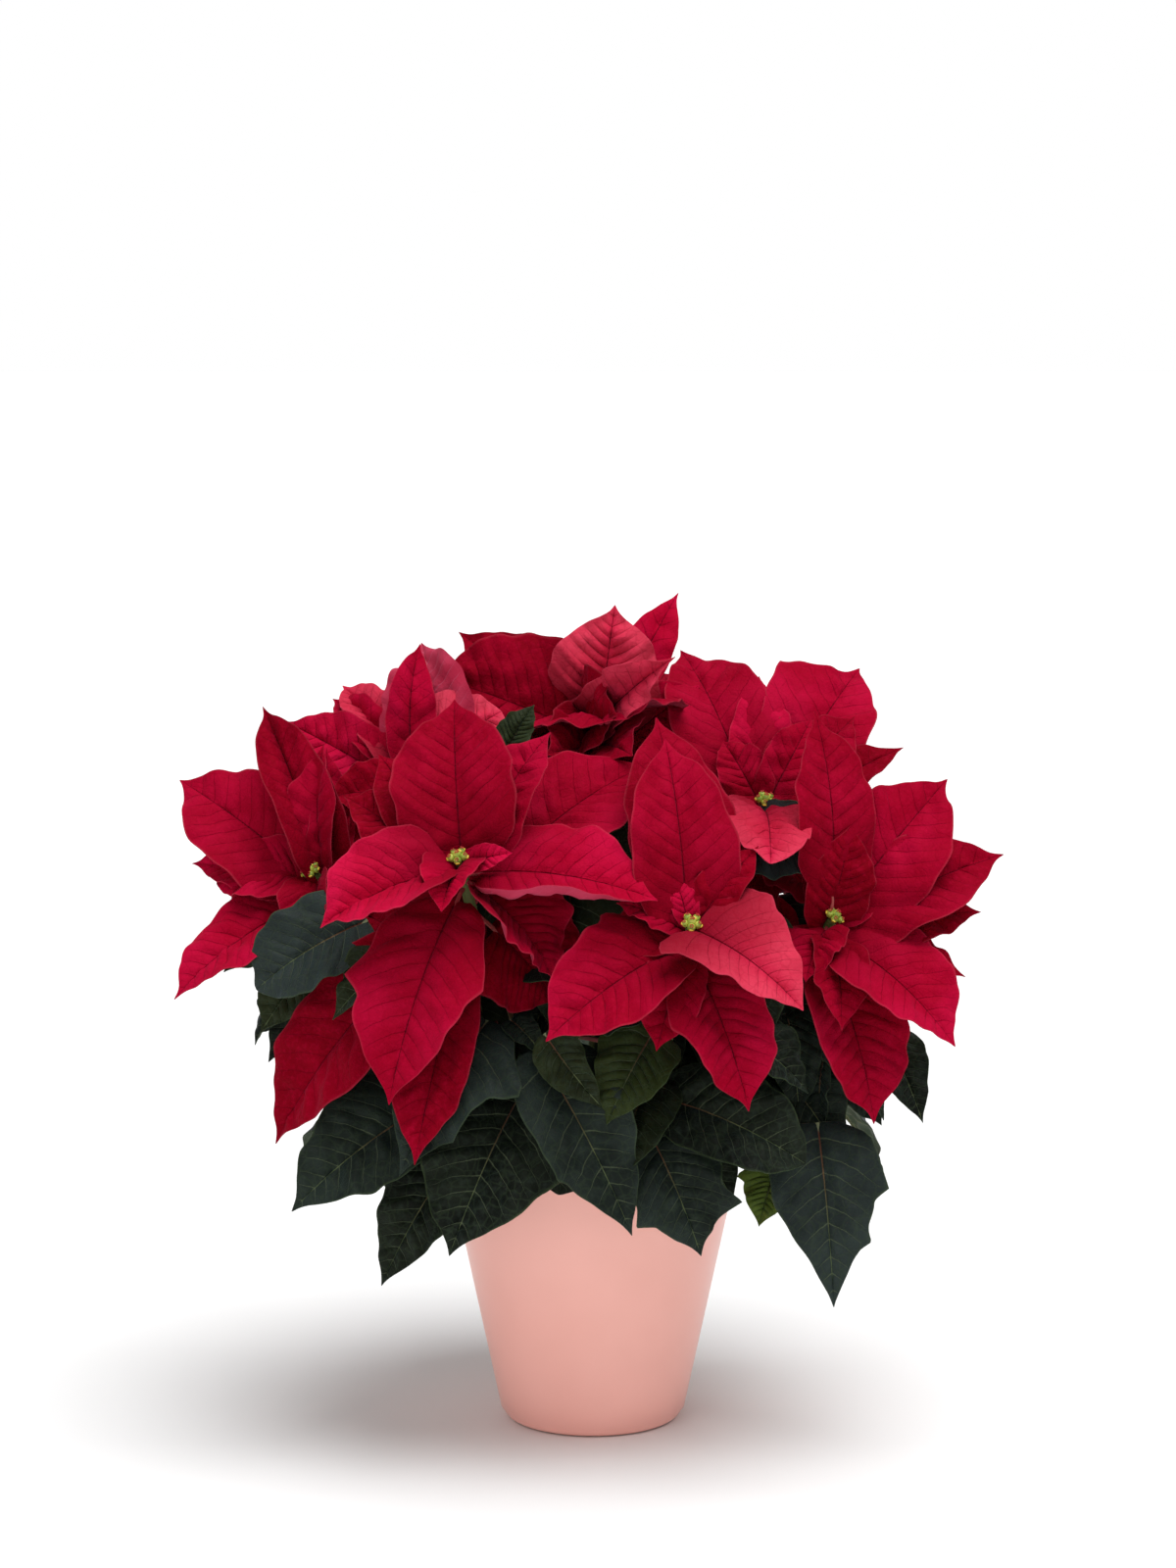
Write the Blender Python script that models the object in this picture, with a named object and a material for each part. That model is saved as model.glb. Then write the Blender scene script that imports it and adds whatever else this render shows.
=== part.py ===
"""A poinsettia in its pot: ten flowering shoots on one branched stem, with green leaves below them.

Metres, +Z up. The origin is the centre of the pot's flat underside. -Y is the plant's front.
"""

import math
from collections import namedtuple

import bmesh
import bpy
from mathutils import Vector
from mathutils.bvhtree import BVHTree

MM = 0.001
GAP = 0.3 * MM  # left between pieces that touch

# The pot: a plain tapered wall with a rounded foot and a plain rim.
POT_HEIGHT = 145 * MM
POT_FOOT_RADIUS = 49 * MM
POT_RIM_RADIUS = 80 * MM
POT_WALL = 3.2 * MM
POT_FLOOR = 5 * MM
FOOT_ROUNDING = 6 * MM
RIM_ROUNDING = 1.2 * MM
POT_SIDES = 40
SOIL_SIDES = 24

# The soil fills the pot to below its rim, and the trunk stands in it.
SOIL_TOP = 126 * MM
SOIL_CROWN = 4 * MM
SOIL_SHOULDER = 0.6  # of the soil's radius, where it has most of its crown
SHOULDER_CROWN = 0.7
TRUNK_RADIUS = 7 * MM
TRUNK_TAPER = 0.8
TRUNK_DEPTH = 40 * MM
TRUNK_TOP = 168 * MM
BRANCH_START_RADIUS = 4.2 * MM
SHOOT_RADIUS = 3 * MM
STRAIGHT_END = 6 * MM
BRANCH_SIDES = 8
BRANCH_STEPS = 6
BRANCH_FOOT_DEPTH = 8 * MM  # below the trunk's top
OUTWARD_PULL = 0.45
UPWARD_PULL = 12 * MM
END_PULL = 0.35

# The last stretch of each branch carries the bracts, and the small flowers sit on its end.
SHOOT_LENGTH = 48 * MM
SHOOT_TAPER = 0.85
SHOOT_SIDES = 6
CUP_RADIUS = 2.2 * MM
CUP_HEIGHT = 5 * MM
CUP_RING = 2.3 * MM
CUPS_IN_RING = 4
CUP_SPREAD = math.radians(24)
CUP_SIDES = 5
CUP_FOOT = 0.7  # of the cup's radius
MIDDLE_CUP_HEIGHT = 1.2  # of the other cups' height
CUSHION_RADIUS = 4 * MM
CUSHION_HEIGHT = 2 * MM
CUSHION_SIDES = 7

# A blade is a folded, arched sheet. Its solid is thicker than the real 0.4 mm.
BLADE_THICKNESS = 1.0 * MM
STALK_RADIUS = 1.3 * MM
TIP_HALF_WIDTH = 0.5 * MM
BLADE_STATIONS = (0, 0.18, 0.54, 1)
BASE_POWER = 0.5  # how full the blade is at its base, and below how fine its tip is
TIP_POWER = 0.85
ARCH_SHARE = 0.1
FOLD = 16  # degrees that each half rises from the midrib
PETIOLE_STEPS = 3
PETIOLE_SIDES = 4
PETIOLE_RISE = 0.25
PETIOLE_CROWN = 0.4  # of its reach, where it is pulled highest
PETIOLE_FOOT = 4 * MM  # straight out from the branch
SHORT_STEP = 0.02
SHIFTS_ALONG_BRANCH = (0, 0.05, -0.05, 0.1, -0.1, 0.15, -0.15)

# Neighbouring blades bend out of each other's way, first a little and then more.
CLEARANCE = 0.5 * MM
BEND_STEP = 3 * MM
MOST_BEND_STEPS = 20
SIGHT = Vector((0, 0.99, -0.15))  # the front's blades bend back or forth along this line

# A bract, in millimetres and degrees: its tip measured from the flower (across, back, up), its width,
# how far below the flower it grows, its bare stalk, and how far it is rolled about its own length.
Bract = namedtuple("Bract", "tip width drop stalk roll fold arch", defaults=(0, FOLD, ARCH_SHARE))
Shoot = namedtuple("Shoot", "flower lean face bracts")

SHOOTS = {
    "front_left": Shoot((-69, -115, 327), (-0.15, -0.62, 0.77), (-0.15, -0.62, 0.77), [
        Bract((-3, 44, 77), 60, 18, 14),
        Bract((-70, -20, -32), 42, 10, 14, 0, 24),
        Bract((-8, -30, -22), 36, 5, 5, 0, 30),
        Bract((102, -20, -18), 50, 12, 20, 0, 10),
        Bract((28, -10, 5), 15, 5, 6, 30, 24),
        Bract((-35, -35, -121), 66, 20, 22),
        Bract((48, -10, -60), 46, 16, 12, -30, 20),
        Bract((47, 35, 61), 36, 20, 14),
        Bract((98, 55, 41), 52, 30, 28),
        Bract((50, 30, -80), 52, 40, 34, 0, 8),
        Bract((-22, 5, -158), 34, 46, 70),
        Bract((-97, 25, -155), 58, 42, 62),
        Bract((-60, 30, 28), 46, 28, 24),
    ]),
    "left": Shoot((-148, -40, 307), (-0.5, -0.42, 0.76), (-0.4, -0.6, 0.7), [
        Bract((-74, 40, 44), 56, 18, 14),
        Bract((-29, 40, 84), 34, 26, 20),
        Bract((6, 20, 64), 26, 12, 10, 30),
        Bract((-52, 10, -4), 32, 7, 8),
        Bract((-66, 20, 2), 36, 22, 18),
        Bract((-72, -30, -62), 40, 18, 18),
        Bract((12, 10, 52), 26, 7, 8, 40),
        Bract((-26, 10, 20), 22, 6, 7),
        Bract((44, 10, 30), 40, 24, 16),
        Bract((-30, 70, 20), 46, 30, 24),
    ]),
    "upper_left": Shoot((-98, -10, 357), (-0.35, -0.35, 0.87), (-0.2, -0.85, 0.5), [
        Bract((5, 60, 62), 40, 18, 12),
        Bract((-38, 30, 43), 26, 8, 8, 20),
        Bract((-43, 15, 38), 28, 7, 8, 10),
        Bract((-68, -10, 29), 34, 20, 16),
        Bract((49, 25, 29), 38, 20, 12),
        Bract((-14, -36, 6), 18, 7, 6),
        Bract((-44, -25, -10), 34, 16, 14),
        Bract((-36, 56, 24), 44, 28, 22),
    ]),
    "top": Shoot((3, 25, 380), (0, -0.25, 0.97), (0, -0.93, 0.37), [
        Bract((44, 10, 70), 30, 16, 10),
        Bract((9, 12, 61), 60, 8, 6),
        Bract((40, -12, 34), 30, 7, 6),
        Bract((-84, -30, 27), 78, 12, 10, 0, 8),
        Bract((-76, 20, 46), 48, 20, 14),
        Bract((10, -66, 12), 66, 14, 12),
        Bract((49, -5, 25), 36, 22, 12),
        Bract((-38, 72, 18), 46, 28, 20),
        Bract((40, 74, 8), 46, 26, 18),
    ]),
    "front_right": Shoot((50, -130, 295), (0.1, -0.62, 0.78), (0.1, -0.62, 0.78), [
        Bract((-13, 55, 89), 58, 18, 14),
        Bract((-74, -35, -53), 58, 14, 12),
        Bract((56, -35, -37), 52, 8, 10, 0, 26),
        Bract((29, -30, -90), 52, 18, 20),
        Bract((-9, 14, 24), 15, 6, 6),
        Bract((-38, 5, 11), 23, 8, 8),
        Bract((35, 20, 38), 26, 12, 10),
        Bract((-17, 45, 102), 50, 26, 24),
    ]),
    "upper_right": Shoot((91, -35, 344), (0.15, -0.5, 0.85), (0.1, -0.7, 0.7), [
        Bract((-43, 88, 71), 50, 18, 16),
        Bract((55, 88, 61), 56, 24, 18),
        Bract((0, -55, -23), 42, 8, 12),
        Bract((-22, 18, 31), 28, 6, 8, -10),
        Bract((26, 12, 44), 28, 7, 8, 10),
        Bract((76, 40, 24), 30, 28, 20),
        Bract((-1, 62, 60), 36, 30, 24),
    ]),
    "right": Shoot((126, -70, 288), (0.42, -0.5, 0.76), (0.3, -0.65, 0.7), [
        Bract((62, 40, 68), 56, 18, 14),
        Bract((91, 25, 30), 44, 24, 20),
        Bract((27, 12, 28), 30, 8, 8),
        Bract((-16, -35, -27), 26, 6, 8, 30),
        Bract((2, 20, 44), 26, 8, 8, -30),
        Bract((61, -45, -59), 54, 12, 10),
        Bract((2, -48, -50), 32, 8, 12),
        Bract((20, -35, -102), 52, 20, 22),
        Bract((69, -5, -30), 32, 22, 20),
    ]),
}

# The three shoots behind are alike: bracts in a spiral, the outer ones longer, lower and drooping.
BACK_SHOOTS = {
    "back_left": ((-100, 88, 305), (-0.5, 0.52, 0.69)),
    "back": ((12, 132, 312), (0.05, 0.62, 0.78)),
    "back_right": ((114, 78, 306), (0.52, 0.48, 0.71)),
}
SPIRAL_TURN = math.radians(137.5)
BACK_BRACTS = 8
LONGEST_BACK_BRACT = 98
BACK_BRACT_TAPER = 8
LOWEST_LIFT = math.radians(-14)
LIFT_STEP = math.radians(7)
BACK_BRACT_SHAPE = 0.52  # width over length
BACK_DROPS = (32, 3.5)  # the lowest one's, and how much less for each next one
BACK_STALKS = (24, 2.4)

# A green leaf, in millimetres: the shoot whose branch it grows from and how far up that branch, the
# blade's base and tip, its width, its roll, and the way its upper side faces.
Leaf = namedtuple("Leaf", "shoot at base tip width roll face", defaults=(0, (0, -0.75, 0.66)))

LEAVES = [
    Leaf("left", 0.80, (-118, -70, 287), (-176, -80, 252), 50),
    Leaf("left", 0.62, (-135, -42, 272), (-176, -55, 224), 44),
    Leaf("left", 0.50, (-125, -20, 262), (-173, -40, 205), 52),
    Leaf("left", 0.90, (-140, -5, 285), (-198, -20, 250), 50),
    Leaf("front_left", 0.45, (-86, -95, 194), (-156, -120, 143), 64),
    Leaf("front_left", 0.62, (-55, -85, 237), (-99, -105, 162), 52),
    Leaf("front_left", 0.25, (-69, -85, 169), (-111, -95, 97), 44),
    Leaf("front_left", 0.35, (-36, -100, 204), (-74, -125, 122), 70),
    Leaf("front_right", 0.50, (-30, -115, 228), (20, -135, 134), 60),
    Leaf("front_right", 0.66, (-25, -125, 238), (5, -140, 202), 28, 30),
    Leaf("front_right", 0.72, (32, -115, 238), (7, -132, 192), 40),
    Leaf("front_right", 0.40, (34, -95, 198), (110, -115, 167), 52),
    Leaf("front_right", 0.28, (28, -105, 184), (56, -130, 121), 56),
    Leaf("right", 0.80, (101, -50, 246), (109, -70, 182), 38),
    Leaf("right", 0.45, (118, -80, 181), (126, -105, 88), 58),
    Leaf("upper_right", 0.15, (99, -20, 143), (89, -40, 115), 28),
    Leaf("right", 0.62, (128, -40, 207), (153, -60, 175), 36),
    Leaf("right", 0.90, (155, -20, 219), (176, -45, 173), 32),
    Leaf("right", 0.55, (122, -65, 212), (122, -75, 170), 18, 40),
    Leaf("front_left", 0.75, (-43, -100, 240), (-25, -115, 224), 18),
    Leaf("top", 0.85, (-46, -45, 371), (-31, -40, 397), 22),
    Leaf("upper_right", 0.86, (80, -42, 323), (130, -72, 314), 46),
    Leaf("front_left", 0.85, (-12, -62, 312), (-12, -90, 220), 64),
    Leaf("front_right", 0.80, (22, -60, 285), (40, -85, 205), 60),
    Leaf("upper_right", 0.60, (78, -62, 292), (74, -90, 205), 62),
    Leaf("front_left", 0.70, (-82, -62, 285), (-92, -88, 200), 60),
    Leaf("upper_right", 0.80, (30, -45, 355), (24, -80, 285), 54),
]

# Leaves round the sides and the back hang in two tiers, each on the nearest branch, facing out and up.
BACK_FACE_RISE = 0.9
# Each tier: count, first and last angle, base radius and height, tip radius and height, width, branch share.
BACK_TIERS = (
    (5, 4, 176, 92, 200, 160, 128, 80, 0.42),
    (4, 28, 152, 100, 250, 172, 196, 76, 0.72),
)

COLOURS = {  # linear base colour and roughness
    "pot": ((0.85, 0.41, 0.35), 0.45),
    "soil": ((0.05, 0.03, 0.02), 0.95),
    "stem": ((0.16, 0.17, 0.06), 0.6),
    "bracts": ((0.43, 0.01, 0.03), 0.55),
    "flower": ((0.42, 0.5, 0.06), 0.5),
    "leaf": ((0.02, 0.05, 0.03), 0.5),
}

in_place = []  # (node, search tree) of every shape that a later blade must clear


def clear_scene():
    for thing in list(bpy.data.objects):
        bpy.data.objects.remove(thing)


def material_of(kind):
    made = bpy.data.materials.get(kind)
    if made is None:
        colour, roughness = COLOURS[kind]
        made = bpy.data.materials.new(kind)
        made.use_nodes = True
        shader = made.node_tree.nodes["Principled BSDF"]
        shader.inputs["Base Color"].default_value = (*colour, 1)
        shader.inputs["Roughness"].default_value = roughness
    return made


def new_object(name, shell, kind):
    points, faces = shell
    mesh = bpy.data.meshes.new(name)
    mesh.from_pydata([tuple(p) for p in points], [], faces)
    mesh.materials.append(material_of(kind))
    thing = bpy.data.objects.new(name, mesh)
    bpy.context.scene.collection.objects.link(thing)
    return thing


def keep_outer_skin(mesh):
    """Removes the small closed pockets that crossing blades shut in."""
    shape = bmesh.new()
    shape.from_mesh(mesh)
    left = set(shape.faces)
    skins = []
    while left:
        skin = {left.pop()}
        edge_of_search = list(skin)
        while edge_of_search:
            face = edge_of_search.pop()
            beside = {other for edge in face.edges for other in edge.link_faces} & left
            left -= beside
            skin |= beside
            edge_of_search.extend(beside)
        skins.append(skin)
    outer = max(skins, key=len)
    inner = [face for skin in skins if skin is not outer for face in skin]
    bmesh.ops.delete(shape, geom=inner, context="FACES")
    shape.to_mesh(mesh)
    shape.free()


def fused(name, shells, kind):
    """One object that is the union of closed shells."""
    whole = new_object(name, shells[0], kind)
    helpers = [new_object(f"{name}_piece", shell, kind) for shell in shells[1:]]
    for helper in helpers:
        helper.hide_render = True
        helper.display_type = "WIRE"
        union = whole.modifiers.new("join", "BOOLEAN")
        union.operation = "UNION"
        union.solver = "EXACT"
        union.object = helper
    graph = bpy.context.evaluated_depsgraph_get()
    joined = bpy.data.meshes.new_from_object(whole.evaluated_get(graph))
    whole.modifiers.clear()
    whole.data = joined
    joined.name = name
    keep_outer_skin(joined)
    for helper in helpers:
        bpy.data.objects.remove(helper)
    return whole


def remember(node, shell):
    points, faces = shell
    in_place.append((node, BVHTree.FromPolygons(points, faces)))


def clears(node, shell):
    points, faces = shell
    tree = BVHTree.FromPolygons(points, faces)
    return not any(tree.overlap(other) for owner, other in in_place if owner != node)


def turned(profile, sides):
    """A closed shell turned round Z from (radius, height) points, which start and end on the axis."""
    points = [Vector((0, 0, profile[0][1]))]
    for radius, height in profile[1:-1]:
        for k in range(sides):
            angle = 2 * math.pi * k / sides
            points.append(Vector((radius * math.cos(angle), radius * math.sin(angle), height)))
    points.append(Vector((0, 0, profile[-1][1])))
    rings = len(profile) - 2
    faces = []
    for k in range(sides):
        after = (k + 1) % sides
        faces.append((0, 1 + after, 1 + k))
        for ring in range(rings - 1):
            low, high = 1 + ring * sides, 1 + (ring + 1) * sides
            faces.append((low + k, low + after, high + after, high + k))
        last = 1 + (rings - 1) * sides
        faces.append((last + k, last + after, len(points) - 1))
    return points, faces


def tube(route, radii, sides):
    """A closed shell along a route, with a radius at each of its points."""
    ahead = [(after - before).normalized() for before, after in zip(route, route[1:])]
    ahead.append(ahead[-1])
    across = ahead[0].orthogonal().normalized()
    points = []
    for here, radius, direction in zip(route, radii, ahead):
        across = (across - direction * across.dot(direction)).normalized()
        other = direction.cross(across)
        for k in range(sides):
            angle = 2 * math.pi * k / sides
            points.append(here + (across * math.cos(angle) + other * math.sin(angle)) * radius)
    faces = [tuple(reversed(range(sides)))]
    for ring in range(len(route) - 1):
        for k in range(sides):
            low, high = ring * sides, (ring + 1) * sides
            after = (k + 1) % sides
            faces.append((low + k, low + after, high + after, high + k))
    faces.append(tuple(range((len(route) - 1) * sides, len(route) * sides)))
    return points, faces


def fullness(share):
    """Half width of a blade along its length, as a share of its greatest."""
    widest = BASE_POWER / (BASE_POWER + TIP_POWER)
    greatest = widest**BASE_POWER * (1 - widest) ** TIP_POWER
    return share**BASE_POWER * (1 - share) ** TIP_POWER / greatest


def blade(base, tip, width, stalk, facing, roll, fold, arch, extra=0):
    """A closed shell: a midrib that arches from base to tip, with a half blade rising on each side."""
    along = (tip - base).normalized()
    length = (tip - base).length
    up = (facing - along * facing.dot(along)).normalized()
    side = along.cross(up)
    turn = math.radians(roll)
    up, side = up * math.cos(turn) + side * math.sin(turn), side * math.cos(turn) - up * math.sin(turn)
    rise = math.radians(fold)
    stations = [(s, fullness(s) * width / 2) for s in BLADE_STATIONS]
    stations = [(stalk / length + s * (1 - stalk / length), half) for s, half in stations]
    if stalk:
        stations.insert(0, (0, 0))
    points = []
    for number, (share, half) in enumerate(stations):
        half = max(half, TIP_HALF_WIDTH if share == 1 else STALK_RADIUS) + extra
        thick = (BLADE_THICKNESS / 2 if number > 1 else STALK_RADIUS) + extra
        middle = base + along * (length * share) + up * (arch * length * 4 * share * (1 - share))
        edge = up * (half * math.sin(rise))
        for place in (middle - side * (half * math.cos(rise)) + edge, middle,
                      middle + side * (half * math.cos(rise)) + edge):
            points.append(place + up * thick)
            points.append(place - up * thick)
    faces = []
    for row in range(len(stations) - 1):
        here, after = row * 6, row * 6 + 6
        for column in (0, 2):
            faces.append((here + column, here + column + 2, after + column + 2, after + column))
            faces.append((here + column + 1, after + column + 1, after + column + 3, here + column + 3))
        faces.append((here, after, after + 1, here + 1))
        faces.append((here + 4, here + 5, after + 5, after + 4))
    last = (len(stations) - 1) * 6
    for column in (0, 2):
        faces.append((column, column + 1, column + 3, column + 2))
        faces.append((last + column, last + column + 2, last + column + 3, last + column + 1))
    return points, faces


def settled(node, make, give):
    """The blade with its tip bent along the give line until it clears all that is in place."""
    for step in range(MOST_BEND_STEPS + 1):
        for way in (1, -1):
            bend = give * (way * step * BEND_STEP)
            if clears(node, make(bend, CLEARANCE)):
                shell = make(bend, 0)
                remember(node, shell)
                return shell
    raise ValueError(f"{node}: a blade finds no place within its bend")


def pot_profile():
    slope = (POT_RIM_RADIUS - POT_FOOT_RADIUS) / POT_HEIGHT
    outline = [(0, 0), (POT_FOOT_RADIUS - FOOT_ROUNDING, 0)]
    for angle in (30, 60):
        turn = math.radians(angle)
        outline.append((POT_FOOT_RADIUS - FOOT_ROUNDING * (1 - math.sin(turn)),
                        FOOT_ROUNDING * (1 - math.cos(turn))))
    outline.append((POT_FOOT_RADIUS + slope * FOOT_ROUNDING, FOOT_ROUNDING))
    outline.append((POT_RIM_RADIUS - slope * RIM_ROUNDING, POT_HEIGHT - RIM_ROUNDING))
    outline.append((POT_RIM_RADIUS - RIM_ROUNDING, POT_HEIGHT))
    outline.append((POT_RIM_RADIUS - POT_WALL + RIM_ROUNDING, POT_HEIGHT))
    outline.append((inner_radius(POT_HEIGHT - RIM_ROUNDING), POT_HEIGHT - RIM_ROUNDING))
    outline.append((inner_radius(POT_FLOOR), POT_FLOOR))
    outline.append((0, POT_FLOOR))
    return outline


def inner_radius(height):
    slope = (POT_RIM_RADIUS - POT_FOOT_RADIUS) / POT_HEIGHT
    return POT_FOOT_RADIUS - POT_WALL + slope * height


def soil_profile():
    pocket = TRUNK_RADIUS + 2 * GAP
    return [
        (0, POT_FLOOR + GAP),
        (inner_radius(POT_FLOOR) - 2 * GAP, POT_FLOOR + GAP),
        (inner_radius(SOIL_TOP) - 2 * GAP, SOIL_TOP),
        (inner_radius(SOIL_TOP) * SOIL_SHOULDER, SOIL_TOP + SOIL_CROWN * SHOULDER_CROWN),
        (pocket, SOIL_TOP + SOIL_CROWN),
        (pocket, SOIL_TOP - TRUNK_DEPTH),
        (0, SOIL_TOP - TRUNK_DEPTH),
    ]


def make_pot_and_soil():
    for name, profile, sides in (("pot", pot_profile(), POT_SIDES), ("soil", soil_profile(), SOIL_SIDES)):
        shell = turned(profile, sides)
        new_object(name, shell, name)
        remember(name, shell)


def branch_curve(shoot, share):
    """A point on the smooth curve from the trunk to where this shoot's tip begins."""
    flower, lean = shoot
    end = flower - lean * (SHOOT_LENGTH + GAP + STRAIGHT_END)
    outward = Vector((end.x, end.y, 0))
    start = Vector((0, 0, TRUNK_TOP - BRANCH_FOOT_DEPTH))
    start_pull = start + outward * OUTWARD_PULL + Vector((0, 0, UPWARD_PULL))
    end_pull = end - lean * (end - start).length * END_PULL
    rest = 1 - share
    return (start * rest**3 + start_pull * 3 * rest**2 * share
            + end_pull * 3 * rest * share**2 + end * share**3)


def branch_point(shoot, share):
    """A point on the branch's core, which is straight between its steps."""
    step = min(int(share * BRANCH_STEPS), BRANCH_STEPS - 1)
    before = branch_curve(shoot, step / BRANCH_STEPS)
    after = branch_curve(shoot, (step + 1) / BRANCH_STEPS)
    return before.lerp(after, share * BRANCH_STEPS - step)


def branch_radius(share):
    return BRANCH_START_RADIUS + (SHOOT_RADIUS - BRANCH_START_RADIUS) * share


def make_stem(shoots):
    foot = Vector((0, 0, SOIL_TOP - TRUNK_DEPTH + GAP))
    top = Vector((0, 0, TRUNK_TOP))
    shells = [tube([foot, top], [TRUNK_RADIUS, TRUNK_RADIUS * TRUNK_TAPER], BRANCH_SIDES)]
    for flower, lean in shoots.values():
        shares = [step / BRANCH_STEPS for step in range(BRANCH_STEPS + 1)]
        route = [branch_curve((flower, lean), share) for share in shares]
        route.append(flower - lean * (SHOOT_LENGTH + GAP))
        shells.append(tube(route, [branch_radius(share) for share in shares + [1]], BRANCH_SIDES))
    for shell in shells:
        remember("stem", shell)
    fused("stem", shells, "stem")


def make_flower(name, flower, lean):
    """The cluster of small cups on the shoot's end, on one low cushion."""
    across = lean.orthogonal().normalized()
    other = lean.cross(across)
    seat = flower + lean * GAP
    radii = [CUSHION_RADIUS * CUP_FOOT, CUSHION_RADIUS]
    shells = [tube([seat, seat + lean * CUSHION_HEIGHT], radii, CUSHION_SIDES)]
    middle = seat + lean * CUSHION_HEIGHT / 2
    radii = [CUP_RADIUS * CUP_FOOT, CUP_RADIUS]
    shells.append(tube([middle, middle + lean * (CUP_HEIGHT * MIDDLE_CUP_HEIGHT)], radii, CUP_SIDES))
    for k in range(CUPS_IN_RING):
        angle = 2 * math.pi * k / CUPS_IN_RING
        out = across * math.cos(angle) + other * math.sin(angle)
        way = lean * math.cos(CUP_SPREAD) + out * math.sin(CUP_SPREAD)
        start = middle + out * CUP_RING
        shells.append(tube([start, start + way * CUP_HEIGHT], radii, CUP_SIDES))
    node = f"flower_{name}"
    for shell in shells:
        remember(node, shell)
    fused(node, shells, "flower")


def spiral_bracts(lean):
    """The bracts of a shoot behind, from the longest and lowest to the short ones by the flower."""
    across = lean.orthogonal().normalized()
    other = lean.cross(across)
    rows = []
    for k in range(BACK_BRACTS):
        turn = SPIRAL_TURN * k
        lift = LOWEST_LIFT + LIFT_STEP * k
        length = LONGEST_BACK_BRACT - BACK_BRACT_TAPER * k
        out = across * math.cos(turn) + other * math.sin(turn)
        tip = (out * math.cos(lift) + lean * math.sin(lift)) * length
        drop, stalk = (first - less * k for first, less in (BACK_DROPS, BACK_STALKS))
        rows.append(Bract(tuple(tip), length * BACK_BRACT_SHAPE, drop, stalk))
    return rows


def make_bracts(name, flower, lean, face, rows, give):
    node = f"bracts_{name}"
    foot = flower - lean * SHOOT_LENGTH
    shells = [tube([foot, flower], [SHOOT_RADIUS, SHOOT_RADIUS * SHOOT_TAPER], SHOOT_SIDES)]
    remember(node, shells[0])
    for row in rows:
        base = flower - lean * (row.drop * MM)

        def make(bend, extra, row=row, base=base):
            tip = flower + Vector(row.tip) * MM + bend
            return blade(base, tip, row.width * MM, row.stalk * MM, face, row.roll, row.fold, row.arch, extra)

        shells.append(settled(node, make, give))
    fused(node, shells, "bracts")


def back_leaves(shoots):
    rows = []
    for count, first, last, base_radius, base_height, tip_radius, tip_height, width, at in BACK_TIERS:
        for k in range(count):
            angle = math.radians(first + (last - first) * k / (count - 1))
            out = Vector((math.cos(angle), math.sin(angle), 0))
            base = out * base_radius + Vector((0, 0, base_height))
            tip = out * tip_radius + Vector((0, 0, tip_height))
            near = min(shoots, key=lambda name: (branch_point(shoots[name], at) / MM - base).length)
            face = tuple(out + Vector((0, 0, BACK_FACE_RISE)))
            rows.append(Leaf(near, at, tuple(base), tuple(tip), width, 0, face))
    return rows


def petiole_shell(shoot, at, base, tip):
    """A round stalk from the branch's skin, straight out at first, to the blade's base."""
    core = branch_point(shoot, at)
    ahead = (branch_point(shoot, at + SHORT_STEP) - core).normalized()
    away = (base - core - ahead * (base - core).dot(ahead)).normalized()
    start = core + away * (branch_radius(at) + GAP)
    foot = start + away * PETIOLE_FOOT
    reach = (base - foot).length
    lift = foot + away * (reach * PETIOLE_CROWN) + Vector((0, 0, reach * PETIOLE_RISE))
    end = base + (tip - base).normalized() * (2 * STALK_RADIUS)
    shares = [step / PETIOLE_STEPS for step in range(PETIOLE_STEPS + 1)]
    route = [start] + [foot * (1 - s) ** 2 + lift * (2 * s * (1 - s)) + end * s**2 for s in shares]
    return tube(route, [STALK_RADIUS] * len(route), PETIOLE_SIDES)


def make_leaf(number, row, shoots):
    """A blade on a round petiole that starts at its branch's skin."""
    node = f"leaf_{number:02d}"
    base, tip = Vector(row.base) * MM, Vector(row.tip) * MM
    for shift in SHIFTS_ALONG_BRANCH:
        petiole = petiole_shell(shoots[row.shoot], row.at + shift, base, tip)
        if clears(node, petiole):
            break
    else:
        raise ValueError(f"{node}: its petiole finds no clear start")

    def make(bend, extra):
        return blade(base, tip + bend, row.width * MM, 0, Vector(row.face), row.roll, FOLD, ARCH_SHARE, extra)

    give = SIGHT if row.face[1] < 0 else Vector(row.face).normalized()
    shell = settled(node, make, give)
    remember(node, petiole)
    fused(node, [shell, petiole], "leaf")


def main():
    clear_scene()
    shoots = {name: (Vector(s.flower) * MM, Vector(s.lean).normalized()) for name, s in SHOOTS.items()}
    for name, (flower, lean) in BACK_SHOOTS.items():
        shoots[name] = (Vector(flower) * MM, Vector(lean).normalized())
    make_pot_and_soil()
    make_stem(shoots)
    for name, (flower, lean) in shoots.items():
        make_flower(name, flower, lean)
    for number, row in enumerate(LEAVES + back_leaves(shoots), 1):
        make_leaf(number, row, shoots)
    for name, (flower, lean) in shoots.items():
        seen = name in SHOOTS
        rows = SHOOTS[name].bracts if seen else spiral_bracts(lean)
        face = Vector(SHOOTS[name].face) if seen else lean
        make_bracts(name, flower, lean, face, rows, SIGHT if seen else lean)


main()
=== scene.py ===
"""A red poinsettia in a plain salmon pink pot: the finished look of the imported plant.

Metres, +Z up. The plant's front is -Y. Pieces follow the order in which the plant is put together: pot,
soil, stem and branches, green leaves, then each shoot with its bracts and its small flowers.
"""

import itertools
import math
from collections import namedtuple

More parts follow.
